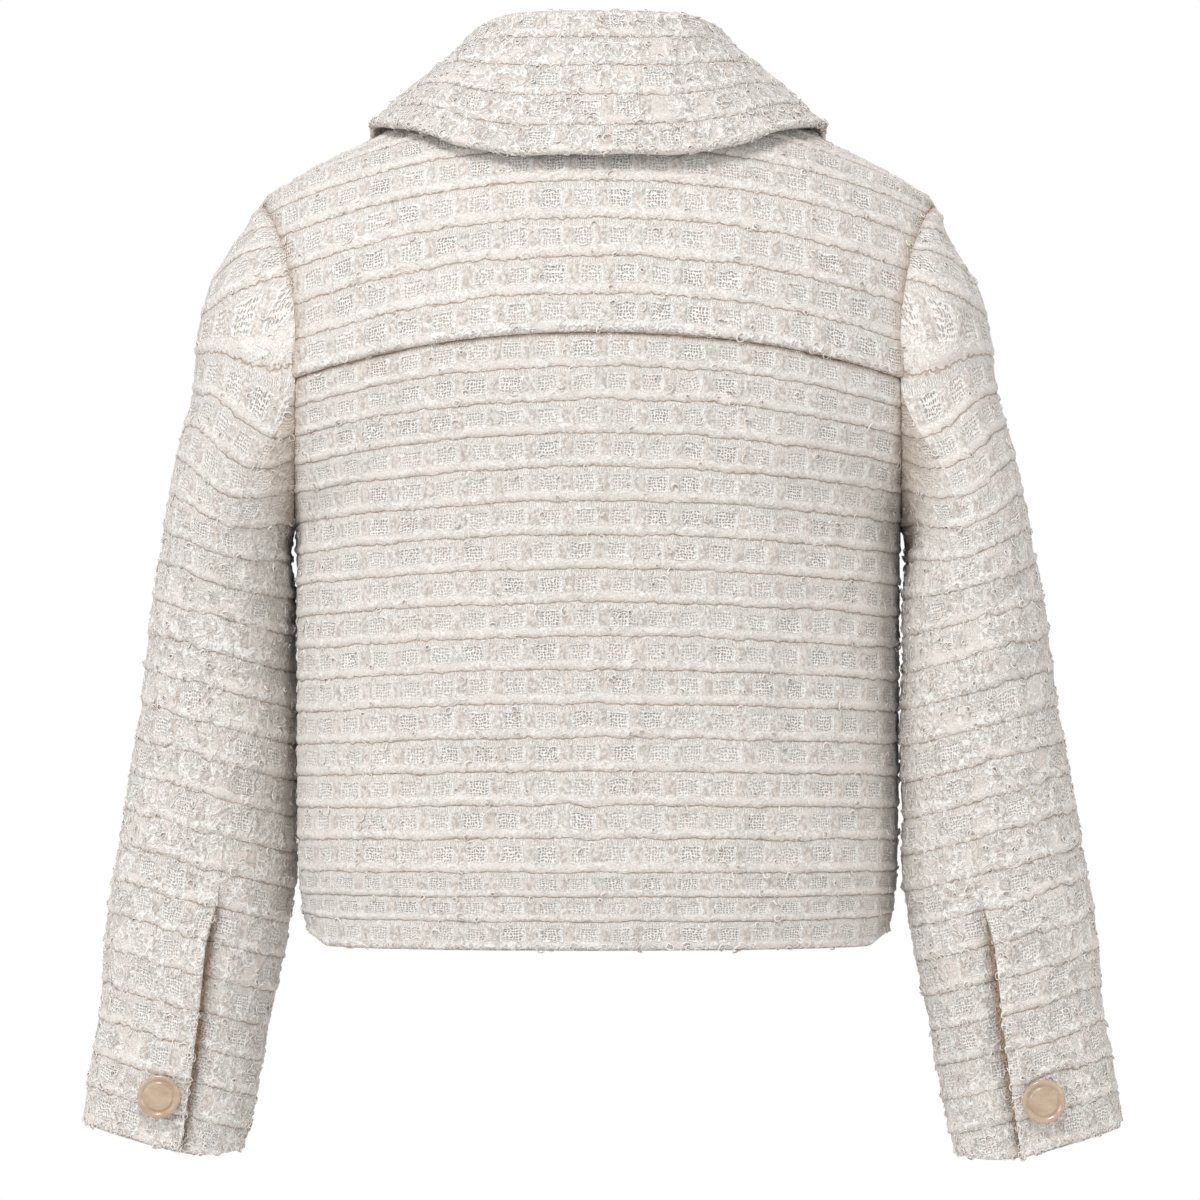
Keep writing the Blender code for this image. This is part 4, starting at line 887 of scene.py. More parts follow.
class Sleeve:
    """One sleeve as a function, drawn for the wearer's left. The right is its mirror."""

    def __init__(self, arm):
        self.arm = arm
        points = []
        for facing in (1, -1):
            downs = np.linspace(NOTCH_DOWN, ARMHOLES[facing][0][-1], 60)
            points += [armhole_at(facing, down)[0] for down in downs[::facing]]
        self.lower_arc = points

    def tube(self, down, angle):
        """angle is 0 on the outside of the arm, 90 degrees at the back, 180 at the body."""
        down, angle = np.asarray(down, float), np.asarray(angle, float)
        widened = self.arm.cap_out * smooth_step(down, 0, 30) * (1 - down / 400)
        outer = SLEEVE["outer"](down) + widened
        inner = SLEEVE["inner"](down)
        power = 2 / SLEEVE_ROUNDNESS
        across = (outer + inner) / 2 + (outer - inner) / 2 * signed_power(np.cos(angle), power)
        y = SLEEVE["half_depth"](down) * signed_power(np.sin(angle), power)
        y = y + SLEEVE["swing"](down) * self.arm.swing
        flat = SHOULDER_TIP + down[..., None] * DOWN_ARM + across[..., None] * ACROSS_ARM
        return flat + y[..., None] * np.array([0, 1.0, 0])

    def back_seam_angle(self, down):
        share = smooth_step(down, VENT_TOP_DOWN - 60, CUFF_DOWN)
        return BACK_SEAM_ANGLE + share * (VENT_SEAM_ANGLE - BACK_SEAM_ANGLE)

    def under_angle(self, share, down):
        start = self.back_seam_angle(down)
        return start + share * (FRONT_SEAM_ANGLE - start)

    def under_point(self, share, down):
        """share runs from the back seam (0) to the front seam (1), round the body side."""
        top = along_line(self.lower_arc, np.atleast_1d(share))
        top_down = down_of(top)
        miss = top - self.tube(top_down, self.under_angle(share, top_down))
        fade = 1 - smooth_step(down, top_down, top_down + SEAM_EASE)
        return self.tube(down, self.under_angle(share, down)) + miss * fade[..., None]

    def edge(self, facing, down):
        if down <= NOTCH_DOWN:
            return armhole_at(facing, down)[0]
        return self.under_point(0.0 if facing == 1 else 1.0, down)[0]

    def upper_row(self, down):
        """Angles, points and lengths of one row of the upper sleeve, front edge to back edge."""
        low = FRONT_SEAM_ANGLE - 2 * math.pi
        angles = np.linspace(low, float(self.back_seam_angle(down)), SLEEVE_SAMPLES)
        line = self.tube(down, angles)
        shares = np.linspace(0, 1, len(angles))[:, None]
        front, back = self.edge(-1, down) - line[0], self.edge(1, down) - line[-1]
        line = line + front * (1 - shares) ** 2.5 + back * shares**2.5
        return angles, line, lengths_along(line)

    def upper_offset(self, down, from_back):
        """How far the back edge stands off: as a soft seam at first, and as a lap at the vent."""
        near = 1 - smooth_step(from_back, UNDER_LAP, UNDER_LAP + 18)
        below_armhole = smooth_step(down, NOTCH_DOWN - 30, NOTCH_DOWN)
        along_vent = smooth_step(down, VENT_TOP_DOWN - 4, VENT_TOP_DOWN + 30)
        along_vent = along_vent * (1 - 0.7 * smooth_step(down, CUFF_DOWN - 60, CUFF_DOWN - 20))
        open_edge = VENT_OPEN * along_vent * (1 - smooth_step(from_back, 0, UNDER_LAP))
        return LAP_RISE * near * below_armhole * lap_share(down) + open_edge

    def vent_pull(self, down, from_back):
        """The vent's edge draws back from the body side and leaves a slit."""
        along = smooth_step(down, VENT_TOP_DOWN - 4, VENT_TOP_DOWN + 24)
        along = along * (1 - 0.6 * smooth_step(down, CUFF_DOWN - 70, CUFF_DOWN))
        return VENT_SLIT * along * (1 - smooth_step(from_back, 0, 34))

    def add_upper(self, seed):
        downs, rows = weave_rows([-g for g in SLEEVE_GROOVES], -CAP_TOP_DOWN, -CUFF_DOWN, cap_step)
        downs = -downs
        table = [self.upper_row(down) for down in downs]
        longest = max(lengths[-1] for _, _, lengths in table)
        count = int(longest / COLUMN_STEP) + 2 * len(EDGE_STEPS)
        high = np.array([lengths[-1] for _, _, lengths in table])
        places = places_along(np.zeros(len(downs)), high, count)
        base = np.stack([points_at(at, row[2], row[1]) for at, row in zip(places, table)])
        outside = np.array([np.interp(0.0, angles, lengths) for angles, _, lengths in table])
        first = cap_top(count)
        share = np.clip((downs - CAP_TOP_DOWN) / 3.0, 0, 1)[:, None, None]
        base = np.where(share < 1, first[None] * (1 - share) + base * share, base)
        pulled = self.vent_pull(downs[:, None], high[:, None] - places)
        toward_front = unit(np.gradient(base, axis=1)) * -pulled[..., None]
        base = base + toward_front
        from_back = high[:, None] - places
        across = places - outside[:, None]
        normals = self.edge_turned_normals(base, downs, places, from_back)
        from_top = 1 - smooth_step(downs, 20, 120)
        row_grid = rows[:, None] + CAP_SLANT * np.abs(across) * from_top[:, None] / SLEEVE_PITCH
        inward = np.minimum(places, from_back)
        from_ends = np.minimum(rows - rows[0], rows[-1] - rows)[:, None]
        loose = looseness(downs)[:, None]
        wave = groove_wave(across, row_grid, seed, loose) * smooth_step(from_ends, 0.3, 0.8)
        wave = wave * smooth_step(inward, 0, WAVE_CLEAR) * (1 - from_top[:, None])
        wave = wave + pulled_rows(downs[:, None], inward)
        base = slide_rows(base, rows, rows[:, None] + wave)
        normals = unit(slide_rows(normals, rows, rows[:, None] + wave))
        offset = self.upper_offset(downs[:, None], from_back)
        level = -downs[:, None] + 0 * across
        soft = fold_height(across - UPPER_FOLDS_FROM, level, UPPER_FOLDS)
        offset = offset + soft * smooth_step(inward, 0, FOLD_CLEAR)
        motif = motif_place(across, row_grid, seed)
        vent = smooth_step(downs, VENT_TOP_DOWN - 8, VENT_TOP_DOWN - 1)[:, None]
        edges = Edges("joined", "free", "joined", "vent")
        name = f"tweed_sleeve_upper_{self.arm.name}"
        shell(name, base, offset, motif, row_grid, edges, ACROSS_ARM, side=self.arm.side,
              seed=seed, normals=normals, loose=loose, vent=vent, curl=loose,
              seam_shade=armhole_shade(downs)[:, None])

    def edge_turned_normals(self, base, downs, places, from_back):
        """Normals of the cap, turned to the body's own along its cut edge near the shoulder."""
        normals = grid_normals(base, ACROSS_ARM)
        for facing, distance in ((-1, places), (1, from_back)):
            share = 1 - smooth_step(downs, CAP_TURN * 0.5, CAP_TURN)
            on_cap = np.minimum(downs, CAP_TURN)
            beside = np.array([armhole_at(facing, down)[1] for down in on_cap])
            part = share[:, None] * (1 - smooth_step(distance, 0, 14))
            normals = normals * (1 - part[..., None]) + beside[:, None] * part[..., None]
        tip = unit(ACROSS_ARM * CAP_LEAN + [0, 0, 1])
        part = (1 - smooth_step(downs, CAP_TOP_DOWN, CAP_TOP_DOWN + 9))[:, None, None]
        return unit(normals * (1 - part) + tip * part)

    def under_down(self, shares, row_down):
        """Distance down the arm of a row that starts on the armhole and grows straight."""
        top_down = down_of(along_line(self.lower_arc, shares))
        along = (row_down - NOTCH_DOWN) / (STRAIGHT_DOWN - NOTCH_DOWN)
        slanted = top_down + along * (STRAIGHT_DOWN - top_down)
        return np.where(row_down >= STRAIGHT_DOWN, row_down, slanted)

    def add_under(self, seed):
        levels, rows = weave_rows([-g for g in SLEEVE_GROOVES], -NOTCH_DOWN, -CUFF_DOWN)
        row_downs = -levels
        fine = np.linspace(0, 1, 200)
        inner_lap = np.arange(UNDER_LAP - 1.8, 0.5, -1.62)
        lap_reach = np.concatenate([[UNDER_LAP, UNDER_LAP - 0.5], inner_lap])
        under, lap = [], []
        for row_down in row_downs:
            down = self.under_down(fine, row_down)
            rise = CUFF_INNER_RISE * np.sin(math.pi * fine) ** 1.5
            down = down - rise * smooth_step(row_down, CUFF_DOWN - 90, CUFF_DOWN)
            under.append(np.concatenate([self.under_point(fine, down), down[:, None]], axis=1))
            shift = UNDER_LAP_START * (1 - smooth_step(row_down, NOTCH_DOWN, NOTCH_DOWN + 14))
            start = float(self.under_down(np.array([0.0]), row_down)[0]) + shift
            _, line, lengths = self.upper_row(start)
            at = lengths[-1] - lap_reach
            points = points_at(at, lengths, line)
            lap.append(np.concatenate([points, np.full((len(at), 1), start)], axis=1))
        under, lap = np.array(under), np.array(lap)
        lengths = lengths_along(under[..., :3])
        count = int(lengths[:, -1].max() / COLUMN_STEP) + 2 * len(EDGE_STEPS)
        shares = places_along(np.zeros(len(rows)), lengths[:, -1], count)
        grid = np.stack([points_at(at, l, line) for at, l, line in zip(shares, lengths, under)])
        whole = np.concatenate([lap, grid], axis=1)
        base, downs = whole[..., :3], whole[..., 3]
        in_lap = np.repeat(-lap_reach[None], len(rows), axis=0)
        beside = np.concatenate([in_lap, shares], axis=1)
        across = beside - lengths[:, -1:] / 2
        row_grid = downs / SLEEVE_PITCH
        at_vent = lap_share(row_downs)[:, None]
        in_slit = smooth_step(row_downs, VENT_TOP_DOWN - 6, VENT_TOP_DOWN + 12)[:, None]
        sink = -LAP_SINK * at_vent * (1 - smooth_step(beside, 0, 15))
        sink = sink - (CLOTH + 0.4) * (1 - at_vent) * (1 - smooth_step(beside, -1.7, -0.4))
        sink = sink - SLIT_DEEP * in_slit * (1 - smooth_step(beside, -2, 7))
        at_corner = 1 - smooth_step(row_downs, NOTCH_DOWN + 12, NOTCH_DOWN + 44)[:, None]
        sink = sink - CORNER_SINK * at_corner * (1 - smooth_step(beside, -2.2, -0.4))
        level = -downs
        far = smooth_step(beside, 4, 20) * smooth_step(lengths[:, -1:] - beside, 0, FOLD_CLEAR)
        offset = sink + fold_height(across, level, UNDER_FOLDS) * far
        inward = np.clip(np.minimum(beside, lengths[:, -1:] - beside), 0, None)
        row_grid = row_grid - VENT_TOP_DOWN / SLEEVE_PITCH + 20 - pulled_rows(downs, inward)
        motif = motif_place(across + 90, row_grid, seed)
        armpit = 0.45 * (1 - smooth_step(row_downs, NOTCH_DOWN, NOTCH_DOWN + 70))[:, None]
        shade = np.maximum(armpit, 0.9 * in_slit * (1 - smooth_step(beside, -1, 4.5)))
        normals = grid_normals(base, -ACROSS_ARM)
        middle = (self.tube(downs, 0 * downs) + self.tube(downs, 0 * downs + math.pi)) / 2
        part = (1 - smooth_step(beside, 0, 6))[..., None]
        normals = unit(normals * (1 - part) + unit(base - middle) * part)
        edges = Edges("joined", "free", "under", "joined")
        loose = looseness(downs)
        name = f"tweed_sleeve_under_{self.arm.name}"
        shell(name, base, offset, motif, row_grid, edges, -ACROSS_ARM, side=self.arm.side,
              seed=seed, normals=normals, loose=loose, shade=shade, curl=loose,
              seam_shade=armhole_shade(row_downs)[:, None])

    def button_seat(self):
        angles, line, lengths = self.upper_row(CUFF_BUTTON_DOWN)
        at = float(np.interp(CUFF_BUTTON_ANGLE, angles, lengths))
        seat = points_at(at, lengths, line)
        down, angle = CUFF_BUTTON_DOWN, CUFF_BUTTON_ANGLE
        along = self.tube(down + 1, angle) - self.tube(down - 1, angle)
        across = self.tube(down, angle + 0.02) - self.tube(down, angle - 0.02)
        normal = unit(np.cross(along, across))
        normal = normal if normal[1] > 0 else -normal
        offset = self.upper_offset(CUFF_BUTTON_DOWN, lengths[-1] - at) + RIB_HEIGHT
        side = np.array([self.arm.side, 1, 1])
        return (seat + normal * float(offset)) * side, normal * side


def cap_step(level):
    """The rows lie closer together over the top of the cap."""
    return 0.5 if level > -26 else (0.9 if level > -47 else 9.0)


# ---- the collar -----------------------------------------------------------------------------


def neck_line():
    """Neck seam from the centre back to the collar's end: points and body normals."""
    samples = []
    for angle in np.linspace(math.pi / 2, 0, 60):
        samples.append(np.concatenate([BACK.point(0.0, angle), BACK.normal(0.0, angle)]))
    for turn in np.linspace(0.02, 1, 90) * math.pi / 2:
        level = NECK_FRONT_LEVEL * math.sin(turn) ** 1.2
        x = neck_front_x(level)
        if x < COLLAR_END_X:
            break
        angle = float(FRONT.angle_of_x(level, x))
        samples.append(np.concatenate([FRONT.point(level, angle), FRONT.normal(level, angle)]))
    return np.array(samples)


def body_under(x, y):
    """Point and normal of the body straight below this place: the back where y is positive."""
    half = BACK if y > 0 else FRONT
    high, low = 0.0, UNDERARM_LEVEL
    for _ in range(30):
        level = (high + low) / 2
        angle = half.angle_of_x(level, x)
        if abs(x) < half.half_width(level) and abs(half.point(level, angle)[1]) > abs(y):
            low = level
        else:
            high = level
    angle = float(half.angle_of_x(low, x))
    return half.point(low, angle), half.normal(low, angle)


def collar_line(along, neck, tables):
    """The collar's middle line at one place: up the stand, over the fold and down the fall."""
    base = neck[:3]
    up = np.array([0, 0, 1.0])
    fold = np.array([float(tables[key](along)) for key in ("fold_x", "fold_y", "fold_z")])
    edge, edge_normal = body_under(float(tables["edge_x"](along)), float(tables["edge_y"](along)))
    edge = edge + edge_normal * float(tables["lift"](along))
    outward = unit((edge - fold) * [1, 1, 0])
    radius = min(FOLD_RADIUS, max(fold[2] - base[2], 4.0) * 0.4)
    centre = fold - up * radius
    stand_top = centre - outward * radius
    start = base + unit(stand_top - base) * STAND_GAP
    off_fronts = STAND_FRONT_GAP * smooth_step(along, 0.45, 0.7)
    off_lap = LAP_RISE * smooth_step(along, 0.7, 0.9)
    start = start + neck[3:] * (off_fronts + off_lap)
    up_stand = np.linspace(0, 1, STAND_STEPS + 1)[:-1]
    line = [start + (stand_top - start) * share for share in up_stand]
    for turn in np.linspace(0, math.pi, FOLD_STEPS + 1):
        line.append(centre - outward * radius * math.cos(turn) + up * radius * math.sin(turn))
    fall_start = line[-1]
    out_and_up = unit(np.cross(np.cross(edge - fall_start, up), edge - fall_start))
    bend = (fall_start + edge) / 2 - out_and_up * FALL_BULGE * math.copysign(1, -out_and_up[2])
    for share in np.linspace(0, 1, FALL_STEPS + 1)[1:]:
        ends = fall_start * (1 - share) ** 2 + edge * share**2
        line.append(ends + bend * 2 * share * (1 - share))
    return np.array(line)


def add_collar(seed):
    tables = {c: curve_through(COLLAR, "along", c) for c in CollarPoint._fields[1:]}
    shares = np.linspace(0, 1, COLLAR_SAMPLES)
    necks = along_line(neck_line(), shares)
    half = np.array([collar_line(a, neck, tables) for a, neck in zip(shares, necks)])
    other = half[:0:-1] * [-1, 1, 1]
    rough = np.concatenate([other, half]).transpose(1, 0, 2)
    lengths = lengths_along(rough.transpose(1, 0, 2)).T
    fall = lengths - lengths[STAND_STEPS + FOLD_STEPS // 2]
    fall_rows = COLLAR_LAST_ROW * fall / fall[-1:]
    stand_rows = fall / COLLAR_PITCH
    rough_rows = np.where(fall > 0, fall_rows, stand_rows)
    grooves = np.arange(-3, 8)
    _, rows = weave_rows(-COLLAR_PITCH * grooves, STAND_ABOVE, -COLLAR_PITCH * COLLAR_LAST_ROW)
    rows = rows + grooves[0]
    middle = lengths_along(rough[WIDTH_STEP])
    count = int(lengths_along(rough)[-1, -1] / (COLUMN_STEP + 0.35))
    places = places_along(np.zeros(1), middle[-1:], count)[0]
    wide = np.stack([points_at(places, middle, line) for line in rough])
    wide_rows = np.stack([np.interp(places, middle, line) for line in rough_rows])
    across = np.repeat((places - middle[-1] / 2)[None], len(rows), axis=0)
    row_grid = rows[:, None] + 0 * across
    from_ends = np.minimum(rows - rows[0], rows[-1] - rows)[:, None]
    moved = row_grid + groove_wave(across, row_grid, seed) * smooth_step(from_ends, 0.1, 0.5)
    base = np.zeros(row_grid.shape + (3,))
    for j in range(count):
        base[:, j] = points_at(moved[:, j], wide_rows[:, j], wide[:, j])
    motif = motif_place(across, row_grid, seed)
    offset = COLLAR_CLOTH / 2 + fold_height(across, row_grid * -COLLAR_PITCH, COLLAR_FOLDS)
    down = np.gradient(base, axis=0)
    normals = unit(np.cross(down, np.gradient(base, axis=1)))
    normals = normals if normals[len(rows) - 12, count // 2][1] > 0 else -normals
    edges = Edges("under", "free", "free", "free")
    shell("tweed_collar", base, offset, motif, row_grid, edges, None,
          thickness=COLLAR_CLOTH, seed=seed, normals=normals, curl=0.85, loose=LOOSE_COLLAR)


# ---- the buttons ----------------------------------------------------------------------------

# Radius and height of the button's profile, from its shank out over the rim to its middle.
BUTTON_PROFILE = [
    (0.0, 0.0), (4.4, 0.0), (4.5, 0.3), (4.6, 1.1), (5.2, 1.35), (9.0, 1.7), (11.8, 2.2),
    (12.7, 2.7), (13.0, 3.4), (12.9, 4.1), (12.5, 4.7), (11.8, 5.0), (11.0, 4.95), (10.4, 4.6),
    (10.0, 4.15), (9.6, 3.95), (9.0, 3.9), (8.6, 4.0), (8.3, 4.35), (8.0, 4.7), (7.6, 4.8),
    (7.2, 4.65), (6.9, 4.55), (5.5, 4.6), (3.6, 4.68), (1.8, 4.72), (0.0, 4.73),
]
BUTTON_TURNS = 72


def add_button(name, node, seat, facing):
    """A turned button whose shank ends just off the cloth at seat."""
    facing = unit(facing)
    across = unit(np.cross(facing, [0, 0, 1.0]))
    upright = np.cross(facing, across)
    bm = bmesh.new()
    rings = []
    for radius, height in BUTTON_PROFILE:
        turns = BUTTON_TURNS if radius > 0 else 1
        ring = []
        for k in range(turns):
            turn = 2 * math.pi * k / turns
            spoke = across * math.cos(turn) + upright * math.sin(turn)
            point = seat + facing * (BUTTON_SEAT + height) + spoke * radius
            ring.append(bm.verts.new(Vector(point * MM)))
        rings.append(ring)
    for low, high in zip(rings, rings[1:]):
        for k in range(BUTTON_TURNS):
            after = (k + 1) % BUTTON_TURNS
            corners = [low[k % len(low)], low[after % len(low)]]
            corners += [high[after % len(high)], high[k % len(high)]]
            bm.faces.new(list(dict.fromkeys(corners)))
    piece = put_in(name, smooth_mesh(name, bm))
    piece.data.materials.append(horn())
    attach(piece, ROOT)
    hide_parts(node)


# ---- stray curls ----------------------------------------------------------------------------

CURL_THREAD = 0.42
CURLS_EACH_METRE = 13500.0  # on a square metre of cloth whose curl is 1
CurlForm = namedtuple("CurlForm", "wide tall turns lean")
CURL_FORMS = [
    CurlForm(2.1, 0.9, 1.15, 0.5),
    CurlForm(1.5, 1.1, 1.35, -0.7),
    CurlForm(2.9, 0.8, 0.7, 0.3),
    CurlForm(1.9, 0.9, 0.95, -0.3),
]
CURL_STEPS = 6


def curl_form(number, form):
    """One short curled thread, whose ends dip into the cloth at z = 0."""
    along = np.linspace(0, 1, CURL_STEPS + 1)
    turn = 2 * math.pi * form.turns * along
    grow = 0.55 + 0.45 * np.sin(math.pi * along)
    line = np.stack([
        form.wide * grow * np.cos(turn) + form.lean * along,
        form.wide * grow * np.sin(turn) * 0.8 + form.lean * np.sin(3 * turn) * 0.3,
        form.tall * np.sin(math.pi * along) ** 0.7 - 0.45,
    ], axis=1)
    tangents = unit(np.gradient(line, axis=0))
    beside = unit(np.cross(tangents, [0.1, 0.2, 1.0]))
    above = np.cross(beside, tangents)
    bm = bmesh.new()
    rings = []
    for point, side, up in zip(line, beside, above):
        spokes = [side * math.cos(a) + up * math.sin(a) for a in (0.0, 2.1, 4.2)]
        corners = [(point + spoke * CURL_THREAD) * MM for spoke in spokes]
        rings.append([bm.verts.new(Vector(corner)) for corner in corners])
    for low, high in zip(rings, rings[1:]):
        for k in range(3):
            bm.faces.new([low[k], low[(k + 1) % 3], high[(k + 1) % 3], high[k]])
    bm.faces.new(rings[0][::-1])
    bm.faces.new(rings[-1])
    name = f"curl form {number}"
    return bpy.data.objects.new(name, smooth_mesh(name, bm))


def curl_tree(forms):
    """Scatters the curl forms over the cloth's face, as many as its curl attribute asks for."""
    tree = bpy.data.node_groups.new("stray curls", "GeometryNodeTree")
    face = tree.interface
    face.new_socket("Cloth", in_out="INPUT", socket_type="NodeSocketGeometry")
    each = face.new_socket("Curls each square metre", in_out="INPUT", socket_type="NodeSocketFloat")
    seed = face.new_socket("Seed", in_out="INPUT", socket_type="NodeSocketInt")
    yarn = face.new_socket("Yarn", in_out="INPUT", socket_type="NodeSocketMaterial")
    face.new_socket("Curls", in_out="OUTPUT", socket_type="NodeSocketGeometry")
    n = Nodes(tree)
    given, result = n.add("NodeGroupInput").outputs, n.add("NodeGroupOutput").inputs
    curl = n.add("GeometryNodeInputNamedAttribute", {"Name": "curl"}, data_type="FLOAT").outputs[0]
    density = n.times(curl, given["Curls each square metre"])
    cloth = {"Mesh": given["Cloth"], "Density": density, "Seed": given["Seed"]}
    spread = n.add("GeometryNodeDistributePointsOnFaces", cloth)
    turn = n.add("FunctionNodeRandomValue", {"Seed": 3}, data_type="FLOAT_VECTOR")
    turn.inputs[0].default_value = (-0.25, -0.25, 0.0)
    turn.inputs[1].default_value = (0.25, 0.25, 2 * math.pi)
    euler = n.add("FunctionNodeEulerToRotation", {0: turn.outputs[0]}).outputs[0]
    turned = n.add("FunctionNodeRotateRotation", {0: spread.outputs["Rotation"], 1: euler},
                   rotation_space="LOCAL")
    size = n.add("FunctionNodeRandomValue", {"Seed": 5}, data_type="FLOAT")
    size.inputs[2].default_value = 0.7
    size.inputs[3].default_value = 1.35
    pick = n.add("FunctionNodeRandomValue", {"Seed": 8}, data_type="INT")
    pick.inputs[4].default_value = 0
    pick.inputs[5].default_value = len(forms) - 1
    joined = n.add("GeometryNodeJoinGeometry")
    for form in forms[::-1]:
        info = n.add("GeometryNodeObjectInfo", {"Object": form, "As Instance": True})
        tree.links.new(info.outputs["Geometry"], joined.inputs[0])
    placed = n.add("GeometryNodeInstanceOnPoints", {
        "Points": spread.outputs["Points"], "Instance": joined.outputs[0], "Pick Instance": True,
        "Instance Index": pick.outputs[2], "Rotation": turned.outputs[0], "Scale": size.outputs[1],
    })
    real = n.add("GeometryNodeRealizeInstances", {0: placed.outputs[0]})
    painted = n.add("GeometryNodeSetMaterial",
                    {"Geometry": real.outputs[0], "Material": given["Yarn"]})
    n.set(result[0], painted.outputs[0])
    return tree, each.identifier, seed.identifier, yarn.identifier


def add_curls(piece, seed, made):
    """The stray curls of one piece of cloth, as a mesh of their own."""
    tree, each, seed_key, yarn_key = made
    name = piece.name.replace("tweed_", "curls_")
    carrier = put_in(name, piece.data)
    scatter = carrier.modifiers.new("stray curls", "NODES")
    scatter.node_group = tree
    scatter[each] = CURLS_EACH_METRE
    scatter[seed_key] = seed
    scatter[yarn_key] = curl_yarn()
    graph = bpy.context.evaluated_depsgraph_get()
    mesh = bpy.data.meshes.new_from_object(carrier.evaluated_get(graph))
    bpy.data.objects.remove(carrier)
    mesh.name = name
    return put_in(name, mesh)


# ---- materials ------------------------------------------------------------------------------


def srgb(code):
    """A linear colour from six hexadecimal digits."""
    parts = [int(code[k:k + 2], 16) / 255 for k in (0, 2, 4)]
    parts = [p / 12.92 if p <= 0.04045 else ((p + 0.055) / 1.055) ** 2.4 for p in parts]
    return (*parts, 1.0)


class Nodes:
    """Short calls that add and join the nodes of one tree."""

    def __init__(self, tree):
        self.tree = tree

    def add(self, kind, inputs=None, **settings):
        node = self.tree.nodes.new(kind)
        for key, value in settings.items():
            setattr(node, key, value)
        for key, value in (inputs or {}).items():
            self.set(node.inputs[key], value)
        return node

    def set(self, socket, value):
        if isinstance(value, bpy.types.NodeSocket):
            self.tree.links.new(value, socket)
        elif value is not None:
            socket.default_value = value

    def math(self, operation, first, second=None):
        node = self.add("ShaderNodeMath", {0: first, 1: second}, operation=operation)
        return node.outputs[0]

    def times(self, first, second):
        return self.math("MULTIPLY", first, second)

    def plus(self, first, second):
        return self.math("ADD", first, second)

    def less(self, first, second):
        return self.math("SUBTRACT", first, second)

    def greater(self, first, second):
        return self.math("MAXIMUM", first, second)

    def ripple(self, value, count):
        """A wave that rises and falls count times while value goes from 0 to 1."""
        return self.math("COSINE", self.times(value, 2 * math.pi * count))

    def vector(self, operation, first, second=None):
        node = self.add("ShaderNodeVectorMath", {0: first, 1: second}, operation=operation)
        return node.outputs[0]

    def step(self, value, low, high, start=0.0, end=1.0):
        node = self.add("ShaderNodeMapRange", interpolation_type="SMOOTHSTEP")
        numbers = (("From Min", low), ("From Max", high), ("To Min", start), ("To Max", end))
        for key, number in (("Value", value),) + numbers:
            self.set(node.inputs[key], number)
        return node.outputs["Result"]

    def between(self, value, low, high, soft):
        first = self.step(value, low - soft, low + soft)
        return self.times(first, self.step(value, high - soft, high + soft, 1.0, 0.0))

    def noise(self, vector, scale, detail=2.0, rough=0.5, output="Fac"):
        inputs = {"Vector": vector, "Scale": scale, "Detail": detail, "Roughness": rough}
        return self.add("ShaderNodeTexNoise", inputs).outputs[output]

    def mix(self, share, first, second, blend="MIX"):
        node = self.add("ShaderNodeMix", data_type="RGBA", blend_type=blend)
        self.set(node.inputs["Factor"], share)
        self.set(node.inputs["A"], first)
        self.set(node.inputs["B"], second)
        return node.outputs["Result"]

    def scaled(self, vector, x, y, z=1.0):
        return self.vector("MULTIPLY", vector, (x, y, z))


def new_group(name, inputs, outputs):
    group = bpy.data.node_groups.new(name, "ShaderNodeTree")
    for socket, kind, value in inputs:
        made = group.interface.new_socket(socket, in_out="INPUT", socket_type=kind)
        if value is not None:
            made.default_value = value
    for socket, kind in outputs:
        group.interface.new_socket(socket, in_out="OUTPUT", socket_type=kind)
    nodes = Nodes(group)
    return group, nodes, nodes.add("NodeGroupInput").outputs, nodes.add("NodeGroupOutput").inputs


